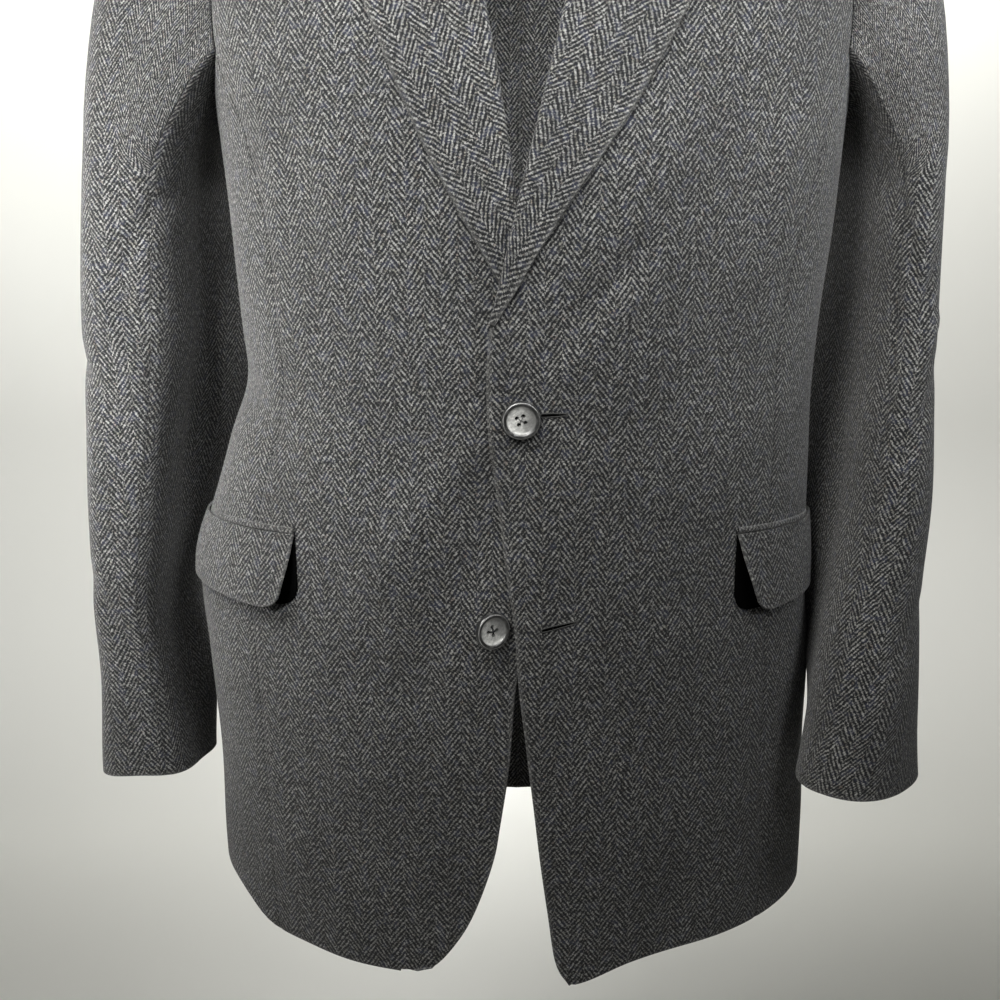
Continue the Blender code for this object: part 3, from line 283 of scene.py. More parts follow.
def lerp(a, b, t):
    return a + (b - a) * t


def length_of(vectors):
    return np.sqrt((vectors ** 2).sum(-1))


def unit(vectors):
    return vectors / np.maximum(length_of(vectors), 1e-12)[..., None]


def dot(a, b):
    return (a * b).sum(-1)[..., None]


def run_of(points):
    """Metres along a line of points."""
    return np.insert(np.cumsum(length_of(np.diff(points, axis=0))), 0, 0.0)


def distances_from(points, axis, last=False):
    """Metres along rows (axis 1) or columns (axis 0) from one end of a grid."""
    run = np.cumsum(length_of(np.diff(points, axis=axis)), axis=axis)
    run = np.insert(run, 0, 0.0, axis=axis)
    return run.take([-1], axis=axis) - run if last else run


def oval_reach(across, along, power):
    """What brings a direction onto a squarish oval of half sizes 1."""
    return (np.abs(across) ** power + np.abs(along) ** power) ** (-1 / power)


# ------------------------------------------------------------ garment form


def form_value(name, level):
    return spline(FORM[name], level)


def seam_angle(name, level):
    return np.radians(form_value(name, level))


def form_half(x, level):
    return np.where(x >= 0, form_value("left", level), form_value("right", level))


def form_depth(in_front, level):
    return np.where(in_front, form_value("front", level), form_value("back", level))


def form_height(x, level):
    past_neck = np.abs(x) - NECK_HALF
    run = (past_neck + np.hypot(past_neck, NECK_SOFTNESS)) / 2
    return form_value("z", level) - form_value("slope", level) * SHOULDER_SLOPE * run


def form_point(angle, level):
    angle, level = np.broadcast_arrays(np.asarray(angle, float), np.asarray(level, float))
    across, along = np.sin(angle), np.cos(angle)
    reach = oval_reach(across, along, form_value("square", level))
    x = form_half(angle, level) * across * reach
    return np.stack([x, -form_depth(along > 0, level) * along * reach,
                     form_height(x, level)], -1)


def form_normal(angle, level):
    step_angle, step_level = 0.004, 0.02
    level = np.asarray(level, float)
    round_body = form_point(angle + step_angle, level) - form_point(angle - step_angle, level)
    low, high = np.maximum(level - step_level, 0.0), np.minimum(level + step_level, TOP)
    up_body = form_point(angle, high) - form_point(angle, low)
    normal = unit(np.cross(round_body, up_body))
    ridge = np.broadcast_to(level > TOP - 0.001, normal.shape[:-1])[..., None]
    return np.where(ridge, unit(normal * np.array([1.0, 0.0, 1.0])), normal)


def stroke_relief(aside_from, along_from, strokes):
    total = 0.0
    for crease in strokes:
        run_a, run_b = crease.x1 - crease.x0, crease.z1 - crease.z0
        length = math.hypot(run_a, run_b)
        along = ((aside_from - crease.x0) * run_a + (along_from - crease.z0) * run_b) / length
        aside = ((aside_from - crease.x0) * run_b - (along_from - crease.z0) * run_a) / length
        share = np.clip(along / length, 0.0, 1.0)
        aside = aside - crease.bend * 4 * share * (1 - share)
        past_end = np.maximum(np.maximum(-along, along - length), 0.0)
        distance = np.hypot(aside, past_end) / crease.width
        total = total + crease.height * np.exp(-2.5 * distance * distance)
    return total


def ripples(point, shift=0):
    return sum(height * np.sin(point @ np.array(direction) * math.tau / wave + phase + shift)
               for *direction, wave, height, phase in RIPPLES)


def relief(point):
    """Height of the folds, creases and ripples at points of the form."""
    x, y, z = point[..., 0], point[..., 1], point[..., 2]
    return (stroke_relief(x, z, FRONT_CREASES) * ramp(y, -0.005, -0.055)
            + stroke_relief(x, z, BACK_CREASES) * ramp(y, 0.005, 0.055) + ripples(point))


def cloth_point(angle, level, out=0.0):
    base = form_point(angle, level)
    lift = np.asarray(out + relief(base))
    return base + form_normal(angle, level) * lift[..., None]


def section_at(x, level):
    """The share of the half width at x, and how much of the depth the form has there."""
    power = form_value("square", level)
    share = np.minimum(np.abs(x) / form_half(x, level), 0.99999)
    return share, (1 - share ** power) ** (1 / power)


def angle_of(x, level):
    return np.copysign(np.arctan2(*section_at(x, level)), x)


def front_at(x, z):
    level = find(lambda at: form_height(x, at), z, 0.0, TOP)
    return angle_of(x, level), level


def plan_at(x, y):
    x, y = np.broadcast_arrays(np.asarray(x, float), np.asarray(y, float))
    level = find(lambda at: -form_depth(y < 0, at) * section_at(x, at)[1],
                 -np.abs(y), ARM_LEVEL, TOP)
    angle = angle_of(x, level)
    behind = np.copysign(math.pi, np.where(x == 0, 1.0, x)) - angle
    return np.where(y < 0, angle, behind), level


def lap_lift(point):
    """How far the left front lies off the form: low down, and away from its side seam."""
    x, z = point[..., 0], point[..., 2]
    stack = LAP_LIFT + LAPEL_STACK * ramp(z, -0.455, -0.385) * ramp(z, -0.235, -0.305)
    return stack * ramp(z, -0.200, -0.280) * ramp(x, 0.115, 0.035)


def front_cloth(side, angle, level, out=0.0):
    """Points of the left (1) or right (-1) front."""
    lift = lap_lift(form_point(angle, level)) if side > 0 else 0.0
    return cloth_point(angle, level, out + lift)


ARC_COLUMNS, ARC_ROWS = 720, 180
ARC_GRID = form_point(np.linspace(-math.pi, math.pi, ARC_COLUMNS + 1)[None, :],
                      np.linspace(0.0, TOP, ARC_ROWS + 1)[:, None])
ARC_ROUND = distances_from(ARC_GRID, 1)
ARC_ROUND -= ARC_ROUND[:, [ARC_COLUMNS // 2]]
ARC_UP = distances_from(ARC_GRID, 0)


def looked_up(grid, angle, level):
    i = np.clip(level / TOP * ARC_ROWS, 0, ARC_ROWS - 0.001)
    j = np.clip((angle + math.pi) / math.tau * ARC_COLUMNS, 0, ARC_COLUMNS - 0.001)
    i0, j0 = i.astype(int), j.astype(int)
    s, t = i - i0, j - j0
    return lerp(lerp(grid[i0, j0], grid[i0, j0 + 1], t),
                lerp(grid[i0 + 1, j0], grid[i0 + 1, j0 + 1], t), s)


def cloth_uv(angle, level, from_back=False, shift=0.0):
    """Metres round the body from the centre and up from the hem, for the weave."""
    around = looked_up(ARC_ROUND, angle, level)
    if from_back:
        around = around - looked_up(ARC_ROUND, np.where(angle > 0, math.pi, -math.pi), level)
    return np.stack([around + shift, looked_up(ARC_UP, angle, level)], -1)


# ------------------------------------------------------------ places on the panels


def neck_place(row):
    return plan_at(spline(NECKLINE["x"], row), spline(NECKLINE["y"], row))


NECK_ROWS = np.linspace(0.0, NECK_END, 241)
NECK_ANGLES, NECK_LEVELS = neck_place(NECK_ROWS)
GORGE_LEVEL = float(NECK_LEVELS[0])
FRONT_NECK = NECK_ROWS <= SHOULDER_POINT


def hem_level(angle):
    last = len(HEM["angle"]) - 1
    at = find(lambda index: spline(HEM["angle"], index), np.degrees(angle), 0.0, last)
    return spline(HEM["rise"], at) / (FORM["z"][1] - FORM["z"][0])


def above_hem(angle, level):
    hem = hem_level(angle)
    return np.where(level >= HEM_LEVELS, level, hem + level * (HEM_LEVELS - hem) / HEM_LEVELS)


def edge_x(edge, z):
    at = find(lambda index: spline(edge["z"], index), z, 0.0, len(edge["z"]) - 1)
    return spline(edge["x"], at)


def front_boundary(side, level):
    edge = EDGES[side]
    z = np.maximum(form_value("z", level), edge["z"][0])
    below = angle_of(edge_x(edge, z), level)
    above = np.interp(level, NECK_LEVELS[FRONT_NECK], NECK_ANGLES[FRONT_NECK])
    return np.where(level >= GORGE_LEVEL, side * above, below)


def front_place(side, share, level):
    corner = float(angle_of(EDGES[side]["x"][0], np.array(0.0)))
    start_level = above_hem(corner, level)
    end = side * seam_angle("front_seam", level)
    angle = lerp(front_boundary(side, start_level), end, share)
    return angle, np.where(share == 0, start_level, above_hem(angle, level))


def side_place(side, share, level):
    angle = side * lerp(seam_angle("front_seam", level), seam_angle("back_seam", level), share)
    dip = SCOOP * np.sin(math.pi * np.clip(share, 0, 1)) ** 0.8 * ramp(level, 7, ARM_LEVEL)
    return angle, above_hem(angle, level) - dip


def back_top(share):
    row = NECK_END + (SHOULDER_POINT - NECK_END) * share / BACK_SHOULDER_SHARE
    along = (share - BACK_SHOULDER_SHARE) / (1 - BACK_SHOULDER_SHARE)
    shoulder = float(np.interp(SHOULDER_POINT, NECK_ROWS, NECK_ANGLES))
    on_shoulder = lerp(shoulder, math.radians(FORM["back_seam"][-1]), along)
    in_neck = share < BACK_SHOULDER_SHARE
    return (np.where(in_neck, np.interp(row, NECK_ROWS, NECK_ANGLES), on_shoulder),
            np.where(in_neck, np.interp(row, NECK_ROWS, NECK_LEVELS), float(TOP)))


def back_place(side, share, level):
    top_angle, top_level = back_top(share)
    near_top = ramp(level, 12, TOP)
    swing = top_angle - lerp(math.pi, math.radians(FORM["back_seam"][-1]), share)
    angle = lerp(math.pi, seam_angle("back_seam", level), share) + swing * near_top
    angle = np.minimum(angle, math.pi)
    settled = level - (TOP - top_level) * near_top
    return side * angle, above_hem(side * angle, settled)


# ------------------------------------------------------------ sleeves


def armhole_place(side, station):
    """Round the armhole: down its front to 1, under the arm to 2, up its back to 3."""
    front_level = lerp(TOP, ARM_LEVEL, np.clip(station, 0, 1))
    back_level = lerp(ARM_LEVEL, TOP, np.clip(station - 2, 0, 1))
    arm = np.full_like(station, float(ARM_LEVEL))
    under = side_place(side, np.clip(station - 1, 0, 1), arm)
    front = side * seam_angle("front_seam", front_level), front_level
    back = side * seam_angle("back_seam", back_level), back_level
    return tuple(np.where(station <= 1, a, np.where(station < 2, b, c))
                 for a, b, c in zip(front, under, back))


def armhole_frame(side, station, near=0.02):
    """The armhole's edge, the cloth's normal there, and the way out of the cloth."""
    angle, level = armhole_place(side, station % 3.0)
    before = cloth_point(*armhole_place(side, (station - near) % 3.0))
    after = cloth_point(*armhole_place(side, (station + near) % 3.0))
    normal = form_normal(angle, level)
    off_edge = unit(np.cross(normal, after - before)) * side
    return cloth_point(angle, level), normal, off_edge


def sleeve_oval(side, row, around):
    def value(name):
        return spline(SLEEVES[side][name], row)

    around = around + EVENING * np.sin(2 * around)
    across, along = np.cos(around), np.sin(around)
    reach = oval_reach(across, along, SLEEVE_SQUARE[side])
    x = value("half_width") * across * reach
    y = -value("half_depth") * along * reach
    turn = np.radians(value("turn"))
    tucked = ramp(along * reach, 0.3, -0.6) * ramp(across * reach, 0.6, -0.6)
    turned_x = x * np.cos(turn) + y * np.sin(turn) - value("tuck") * tucked
    turned_y = y * np.cos(turn) - x * np.sin(turn)
    return np.stack([value("x") + side * turned_x, value("y") + turned_y,
                     value("z") + value("slant") * along], -1)


def sleeve_grid(side, stations, rows):
    """Points of a sleeve's outer face, a line of stations for each row."""
    _, row = np.meshgrid(stations, rows)
    edge, normal, off_edge = armhole_frame(side, stations)
    around = np.arctan2(-edge[:, 1], edge[:, 2] - ARMHOLE_CENTRE_Z)
    around_all = np.broadcast_to(around, row.shape)
    arm = sleeve_oval(side, np.maximum(row - 1, 0.0), around_all)
    end = sleeve_oval(side, np.zeros_like(around), around)
    under = (1 - np.cos(around)) / 2
    bend = math.pi / 2 * ramp(under, 0.35, 0.90)
    leaving = off_edge * np.cos(bend)[:, None] + normal * np.sin(bend)[:, None]
    near = edge + leaving * lerp(*CAP_START, ramp(under, 0, 1 / 1.3))[:, None]
    rise = lerp(*CAP_END, ramp(under, 0, 1 / 1.1))[:, None]
    far = end + np.array([AWAY_FROM_BODY[side], 0.0, 1.0]) * rise
    t = np.clip(row, 0.0, 1.0)[..., None]
    cap = (edge * (1 - t) ** 3 + near * 3 * t * (1 - t) ** 2
           + far * 3 * t * t * (1 - t) + end * t ** 3)
    grid = np.where(row[..., None] >= 1, arm, cap)
    folds = stroke_relief(np.degrees(around_all) * SLEEVE_DEGREE, grid[..., 2],
                          SLEEVE_CREASES[side]) + ripples(grid, side)
    folds = folds * ramp(row, 0, CAP_SMOOTH)
    return grid + grid_normals(grid, -side) * folds[..., None]


# ------------------------------------------------------------ meshes


def grid_normals(points, sign):
    down = np.gradient(points, axis=0)
    across = np.gradient(points, axis=1)
    return unit(np.cross(down, across)) * sign


def grid_faces(rows, cols, closed=False):
    """Quads between rows of vertices; closed joins each row's last one to its first."""
    index = np.arange(rows * cols).reshape(rows, cols)
    here = index if closed else index[:, :-1]
    ahead = np.roll(index, -1, axis=1) if closed else index[:, 1:]
    return np.stack([here[:-1], ahead[:-1], ahead[1:], here[1:]], -1).reshape(-1, 4)


def add_mesh(name, vertices, faces, soft=True):
    mesh = bpy.data.meshes.new(name)
    mesh.from_pydata(np.asarray(vertices, float).tolist(), [], faces)
    if soft:
        mesh.shade_smooth()
    mesh.validate()
    made = bpy.data.objects.new(name, mesh)
    bpy.context.scene.collection.objects.link(made)
    return made


def set_uv(made, uv):
    mesh = made.data
    corner = np.empty(len(mesh.loops), np.int32)
    mesh.loops.foreach_get("vertex_index", corner)
    layer = mesh.uv_layers.new(name="cloth")
    layer.data.foreach_set("uv", uv[corner].astype(np.float32).ravel())


def set_value(made, name, values):
    attribute = made.data.attributes.new(name, "FLOAT", "POINT")
    attribute.data.foreach_set("value", values.astype(np.float32))


SIDES = {"first_row": (0, False), "last_row": (0, True),
         "first_column": (1, False), "last_column": (1, True)}
ROUNDING = np.radians([18, 54, 90, 126, 162])       # round a free edge
GROOVE = 0.0004
GROOVE_WIDTH = 0.0022
WEAR_WIDTH = 0.0045
RIM_INSET = 0.85            # of half the wall, so that a round edge ends where it should


def add_shell(name, outer, uv, sign, wall=CLOTH, free=(), sewn=()):
    """A closed thin shell with soft free edges and a groove along sewn ones, where the cloth is
    also painted darker as shade.
    """
    points = np.array(outer)
    rows, cols = points.shape[:2]
    normals = grid_normals(points, sign)
    groove_shade = np.zeros((rows, cols))
    for edge in sewn:
        nearness = distances_from(points, *SIDES[edge]) / GROOVE_WIDTH
        groove_shade = np.maximum(groove_shade, np.exp(-nearness ** 2))
    points = points - normals * GROOVE * groove_shade[..., None]
    edge_near = np.full((rows, cols), 1.0)
    for edge in free:
        edge_near = np.minimum(edge_near, distances_from(points, *SIDES[edge]))
    normals = grid_normals(points, sign)
    wall_grid = np.broadcast_to(np.asarray(wall, float), (rows, cols))

    loop = [(0, j) for j in range(cols)] + [(i, cols - 1) for i in range(1, rows)]
    loop += [(rows - 1, j) for j in range(cols - 2, -1, -1)]
    loop += [(i, 0) for i in range(rows - 2, 0, -1)]
    loop_i, loop_j = np.array(loop).T
    away = np.zeros((len(loop), 3))
    soft = np.zeros(len(loop), bool)
    spread = {"first_row": points[0] - points[1], "last_row": points[-1] - points[-2],
              "first_column": points[:, 0] - points[:, 1],
              "last_column": points[:, -1] - points[:, -2]}
    for edge in free:
        axis, last = SIDES[edge]
        index, other = (loop_i, loop_j) if axis == 0 else (loop_j, loop_i)
        on = index == ((rows, cols)[axis] - 1 if last else 0)
        direction = spread[edge][other[on]]
        here = normals[loop_i[on], loop_j[on]]
        away[on] += unit(direction - here * dot(direction, here))
        soft |= on
    away = np.where(soft[:, None], unit(away + 1e-9), 0.0)
    half = wall_grid[loop_i, loop_j][:, None] / 2
    rim_normal = normals[loop_i, loop_j]
    rim_centre = points[loop_i, loop_j] - rim_normal * half - away * half * RIM_INSET
    points[loop_i, loop_j] -= away * half * RIM_INSET
    inner = points - normals * wall_grid[..., None]

    count = rows * cols
    quads = grid_faces(rows, cols)
    faces = [quads[:, ::sign], quads[:, ::-sign] + count]
    rim = loop_i * cols + loop_j
    rings = [rim]
    vertices = [points.reshape(-1, 3), inner.reshape(-1, 3)]
    for step, turn in enumerate(ROUNDING):
        vertices.append(rim_centre + (rim_normal * math.cos(turn) + away * math.sin(turn)) * half)
        rings.append(np.arange(len(loop)) + 2 * count + step * len(loop))
    rings.append(rim + count)
    for one, two in zip(rings, rings[1:]):
        strip = np.stack([one, two, np.roll(two, -1), np.roll(one, -1)], -1)
        faces.append(strip[:, ::sign])

    def on_all(face_values, rim_values):
        return np.concatenate([face_values, face_values] + [rim_values] * len(ROUNDING))

    made = add_mesh(name, np.concatenate(vertices), np.concatenate(faces).tolist())
    set_uv(made, on_all(uv.reshape(-1, 2), uv[loop_i, loop_j]))
    near = on_all(edge_near.ravel(), np.where(soft, 0.0, edge_near[loop_i, loop_j]))
    set_value(made, "wear", np.exp(-(near / WEAR_WIDTH) ** 2))
    # how deep the seam groove is, kept so the tweed can paint shade along it
    set_value(made, "groove_shade", on_all(groove_shade.ravel(), groove_shade[loop_i, loop_j]))
    # the last row may lie on a ridge, where the weave's width isn't the cut's
    made["cut"] = [float(np.ptp(uv[:-1, :, 0])), float(np.ptp(uv[..., 1])),
                   float(quad_area(points))]
    return made


def quad_area(points):
    one = np.cross(points[1:, :-1] - points[:-1, :-1], points[:-1, 1:] - points[:-1, :-1])
    two = np.cross(points[1:, :-1] - points[1:, 1:], points[:-1, 1:] - points[1:, 1:])
    return (length_of(one).sum() + length_of(two).sum()) / 2


# ------------------------------------------------------------ materials


class Value:
    """An output of a node that can be reckoned with."""

    def __init__(self, nodes, socket):
        self.nodes, self.socket = nodes, socket

    def __add__(self, other):
        return self.nodes.math("ADD", self, other)

    def __sub__(self, other):
        return self.nodes.math("SUBTRACT", self, other)

    def __mul__(self, other):
        return self.nodes.math("MULTIPLY", self, other)

    def __truediv__(self, other):
        return self.nodes.math("DIVIDE", self, other)


class Nodes:
    """A short way to write a node tree."""

    def __init__(self, name):
        self.material = bpy.data.materials.new(name)
        self.material.use_nodes = True
        self.tree = self.material.node_tree
        self.shader = self.tree.nodes["Principled BSDF"]

    def set(self, socket, value):
        if isinstance(value, Value):
            self.tree.links.new(value.socket, socket)
        elif isinstance(value, tuple) and socket.type == "RGBA":
            socket.default_value = (*value, 1.0)
        else:
            socket.default_value = value

    def add(self, kind, *inputs, settings=(), output=0, **named):
        node = self.tree.nodes.new("ShaderNode" + kind)
        for key, value in dict(settings).items():
            setattr(node, key, value)
        for i, value in enumerate(inputs):
            self.set(node.inputs[i], value)
        for key, value in named.items():
            self.set(node.inputs[key.replace("_", " ")], value)
        return Value(self, node.outputs[output])

    def math(self, operation, *values):
        return self.add("Math", *values, settings={"operation": operation})

    def vector(self, operation, *values, **named):
        return self.add("VectorMath", *values, settings={"operation": operation}, **named)

    def attribute(self, name):
        return self.add("Attribute", settings={"attribute_name": name}, output="Fac")

    def place(self):
        return self.add("TexCoord", output="Object")

    def noise(self, vector, scale, detail=2.0, roughness=0.5, output="Fac"):
        return self.add("TexNoise", Vector=vector, Scale=scale, Detail=detail,
                        Roughness=roughness, output=output)

    def strayed(self, vector, scale, reach):
        """The vector, led astray by a noise."""
        stray = self.vector("SUBTRACT", self.noise(vector, scale, output="Color"), (0.5,) * 3)
        return self.vector("SCALE", stray, Scale=reach)

    def between(self, value, low, high, out_low=0.0, out_high=1.0):
        return self.add("MapRange", settings={"interpolation_type": "SMOOTHSTEP"},
                        Value=value, From_Min=low, From_Max=high,
                        To_Min=out_low, To_Max=out_high)

    def mix(self, factor, a, b, blend="MIX"):
        node = self.tree.nodes.new("ShaderNodeMix")
        node.data_type = "RGBA"
        node.blend_type = blend
        for i, value in ((0, factor), (6, a), (7, b)):
            self.set(node.inputs[i], value)
        return Value(self, node.outputs[2])

    def shaded(self, colour, shade):
        return self.mix(1.0, colour, self.add("CombineColor", shade, shade, shade), "MULTIPLY")

    def surface(self, colour, bump=None, **constants):
        """The shader: a linked colour and bump, and constants on its own sockets."""
        self.set(self.shader.inputs["Base Color"], colour)
        for name, value in constants.items():
            self.shader.inputs[name.replace("_", " ")].default_value = value
        if bump:
            strength, distance, height = bump
            bump = self.add("Bump", Strength=strength, Distance=distance, Height=height)
            self.set(self.shader.inputs["Normal"], bump)
        return self.material


STRIPE = 0.0096             # half the herringbone's repeat
TWILL_PITCH = 0.00238       # from one pale line to the next, square to it
TWILL_LEAN = math.radians(36.0)
FLOAT_PITCH = 0.0017        # from one float to the next, along a pale line
PALE, DARK = (0.222, 0.221, 0.210), (0.0040, 0.0042, 0.0050)
OLIVE, NAVY, BROWN = (0.100, 0.094, 0.056), (0.018, 0.021, 0.036), (0.085, 0.048, 0.032)
NEP, WOOL = (0.30, 0.30, 0.285), (0.105, 0.104, 0.098)


def tweed(name):
    """Woollen herringbone on the cloth's own metres, with slubs, flecks and nap."""
    n = Nodes(name)
    uv = n.add("UVMap", settings={"uv_map": "cloth"})
    place = n.place()
    moved = n.vector("ADD", uv, n.strayed(uv, 70.0, 0.0026))
    moved = n.vector("ADD", moved, n.strayed(uv, 620.0, 0.0017))
    u, v = n.add("SeparateXYZ", moved), n.add("SeparateXYZ", moved, output=1)
    across = n.math("PINGPONG", u, STRIPE)
    parity = n.math("MODULO", n.math("ABSOLUTE", n.math("FLOOR", u / STRIPE)), 2.0)
    lean_cos, lean_sin = math.cos(TWILL_LEAN), math.sin(TWILL_LEAN)
    phase = across * (lean_cos / TWILL_PITCH) + v * (lean_sin / TWILL_PITCH) + parity * 0.5
    strand = across * lean_sin - v * lean_cos
    floats = n.math("SINE", strand * (math.tau / FLOAT_PITCH))
    wave = n.math("SINE", phase * math.tau) + floats * 0.38
    fibre = n.noise(uv, 1500.0, 3.0, 0.7)
    wave = wave + n.between(fibre, 0.25, 0.75, -0.95, 0.95)
    wave = wave + n.between(n.noise(uv, 420.0, 2.0, 0.6), 0.3, 0.7, -0.85, 0.70)
    lit = n.between(n.noise(uv, 330.0, 3.0, 0.65), 0.30, 0.70, 0.40, 1.25)
    yarn = n.between(wave, -0.62, 1.80) * lit
    pale = n.mix(n.between(n.noise(uv, 190.0), 0.50, 0.72, 0.0, 0.45), PALE, OLIVE)
    pale = n.mix(n.between(n.noise(place, 300.0, 1.0), 0.64, 0.72, 0.0, 0.5), pale, BROWN)
    dark = n.mix(n.between(n.noise(uv, 160.0), 0.5, 0.7, 0.0, 0.7), DARK, NAVY)
    neps = n.between(n.noise(uv, 520.0, 1.0), 0.74, 0.80, 0.0, 0.8)
    colour = n.mix(neps, n.mix(yarn, dark, pale), NEP)
    nap = n.attribute("wear") + n.between(fibre, 0.3, 0.7, -0.25, 0.25)
    colour = n.mix(n.between(nap, 0.55, 1.2, 0.0, 0.40), colour, WOOL)
    clouds = n.between(n.noise(place, 22.0, 3.0), 0.3, 0.7, 0.88, 1.10)
    # clouds are tone that differs at random; along the sewn seams the cloth is painted darker,
    # down to 0.8, as shade in the grooves
    colour = n.shaded(colour, clouds * n.between(n.attribute("groove_shade"), 0.2, 1.0, 1.0, 0.80))
    return n.surface(colour, (0.55, 0.00045, wave * 0.35 + fibre * 0.9), Roughness=0.92,
                     Specular_IOR_Level=0.18, Sheen_Weight=0.10, Sheen_Roughness=0.55)


TURNING = 0.0011            # from one line of the lathe's tool to the next
DISH_EDGE = 0.70            # the shares of the radius where the rim starts
RIM_START = 0.78
CREST = 0.925               # the share where the rim is highest
DUSK = math.radians(18.9)   # the dish is darker on the side away from the light


def horn(name):
    """Mottled grey horn: pale and streaked in the dish, dark on the raised rim, with painted
    shade on the dish's side away from the light and a painted highlight along the rim's crest.
    """
    n = Nodes(name)
    place = n.place()
    x, y = n.add("SeparateXYZ", place), n.add("SeparateXYZ", place, output=1)
    radius = n.math("POWER", n.math("POWER", x, 2.0) + n.math("POWER", y, 2.0), 0.5)
    stretch = n.add("Mapping", place, (0.0,) * 3, (0.0,) * 3, (1.0, 2.2, 1.0))
    streak = n.noise(stretch, 170.0, 4.0, 0.6)
    mottle = n.noise(place, 480.0, 3.0)
    turned = n.math("SINE", radius * (math.tau / TURNING))
    pale = n.mix(n.between(mottle, 0.35, 0.65), (0.58, 0.58, 0.55), (0.34, 0.34, 0.325))
    pale = n.mix(n.between(turned, 0.2, 1.0, 0.0, 0.22), pale, (0.15, 0.15, 0.145))
    face = n.mix(n.between(streak, 0.46, 0.70, 0.0, 0.7), pale, (0.14, 0.14, 0.135))
    # painted shade: the dish darkens towards its side away from the light
    across = x * math.cos(DUSK) - y * math.sin(DUSK)
    dish_shade = n.between(across, -BUTTON_RADIUS * 0.35, BUTTON_RADIUS * 0.65) * 0.85
    face = n.mix(dish_shade, face, (0.075, 0.075, 0.073))
    rim = n.mix(n.between(streak, 0.45, 0.70), (0.012, 0.012, 0.012), (0.06, 0.06, 0.058))
    # painted highlight: a pale line mixed into the dark rim along its crest
    off_crest = n.math("ABSOLUTE", radius - BUTTON_RADIUS * CREST)
    crest = n.between(off_crest, 0.0, BUTTON_RADIUS * 0.035, 0.75, 0.0)
    painted_highlight = n.mix(n.between(streak, 0.40, 0.62), (0.36, 0.36, 0.345), (0.09, 0.09, 0.087))
    ring = n.between(radius, BUTTON_RADIUS * DISH_EDGE, BUTTON_RADIUS * RIM_START)
    return n.surface(n.mix(ring, face, n.mix(crest, rim, painted_highlight)), (0.12, 0.0002, mottle),
                     Roughness=0.34, Coat_Weight=0.35, Coat_Roughness=0.12)


def thread(name, colour, gloss=0.3):
    n = Nodes(name)
    twist = n.noise(n.place(), 2600.0)
    deep = tuple(channel * 0.45 for channel in colour)
    return n.surface(n.mix(n.between(twist, 0.35, 0.65), colour, deep), (0.5, 0.0002, twist),
                     Roughness=0.85, Specular_IOR_Level=gloss)


def plaster(name, colour):
    n = Nodes(name)
    tone = n.between(n.noise(n.place(), 0.8), 0.3, 0.7, 0.97, 1.0)
    return n.surface(n.shaded(colour, tone), Roughness=0.9)


TWEED = tweed("tweed")
HORN = horn("horn")
DARK_THREAD = thread("dark_thread", (0.022, 0.022, 0.024))
PURL_THREAD = thread("purl_thread", (0.045, 0.045, 0.043))
GREY_THREAD = thread("grey_thread", (0.16, 0.16, 0.155))
# near-black, for painted shade: the buttonholes' slits and the sheets under the flaps
SHADE = thread("shade", (0.002, 0.002, 0.002), 0.0)
WALL_PAINT = plaster("pale_wall", (0.86, 0.86, 0.83))


def dress(made, material, node):
    """Finish, ride and replace one piece."""
    made.data.materials.append(material)
    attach(made, "root")
    if node:
        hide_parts(node)
    return made


def add_cloth(node, points, uv, sign, held=None, rests_on=(), **edges):
    """A piece of tweed in a node's place."""
    made = add_shell(node + "_cloth", points, uv, sign, **edges)
    return dress(made, TWEED, node)


# ------------------------------------------------------------ body panels


def shares_with_fine_ends(count, ends=0.018):
    """Shares from 0 to 1, with two close ones at each end."""
    inner = np.linspace(ends, 1 - ends, count)
    return np.concatenate([[0, ends * 0.35], inner, [1 - ends * 0.35, 1]])


def panel_levels(step=0.0042, samples=1801, front_angle=0.7):
    """Levels about a step apart, closer at the hem and none in the shoulder's ridge."""
    dense = np.linspace(0, TOP, samples)
    along = run_of(form_point(np.full(samples, front_angle), dense))
    even = np.interp(np.linspace(0, along[-1], int(along[-1] / step)), along, dense)
    return np.concatenate([[0, 0.02, 0.045, 0.09], even[(even > 0.12) & (even < TOP - 0.35)],
                           [TOP]])


LEVELS = panel_levels()
SEAM_COLUMNS = ("last_column", "first_column", "last_row")


def add_fronts():
    shares = shares_with_fine_ends(58)
    for side, word in WORDS.items():
        places = front_place(side, *np.meshgrid(shares, LEVELS))
        add_cloth("front_" + word, front_cloth(side, *places), cloth_uv(*places), -side, "hung",
                  ["back_" + word], free=("first_row", "first_column"),
                  sewn=("last_column", "last_row"))


def add_sides():
    shares = shares_with_fine_ends(34)
    levels = LEVELS[LEVELS <= ARM_LEVEL]
    levels = np.concatenate([levels, [ARM_LEVEL]]) if levels[-1] < ARM_LEVEL else levels
    for side, word in WORDS.items():
        places = side_place(side, *np.meshgrid(shares, levels))
        add_cloth("side_" + word, cloth_point(*places), cloth_uv(*places, shift=0.0043), -side,
                  "hung", ["front_" + word, "back_" + word], free=("first_row",),
                  sewn=SEAM_COLUMNS)


def add_backs():
    shares = shares_with_fine_ends(50)
    for side, word in WORDS.items():
        places = back_place(side, *np.meshgrid(shares, LEVELS))
        add_cloth("back_" + word, cloth_point(*places),
                  cloth_uv(*places, from_back=True, shift=0.002), side, "hung",
                  ["front_" + word], free=("first_row",), sewn=SEAM_COLUMNS)


# ------------------------------------------------------------ lapels and collar

FALL = np.concatenate([[0.05, 0.10, 0.16], np.linspace(0.22, 0.96, 26), [0.985, 1.0]])
ACROSS = np.concatenate([[0.0], FALL])          # from the seam or the roll to the outer edge
FOLD_ANGLES = np.linspace(0, math.pi, 12)


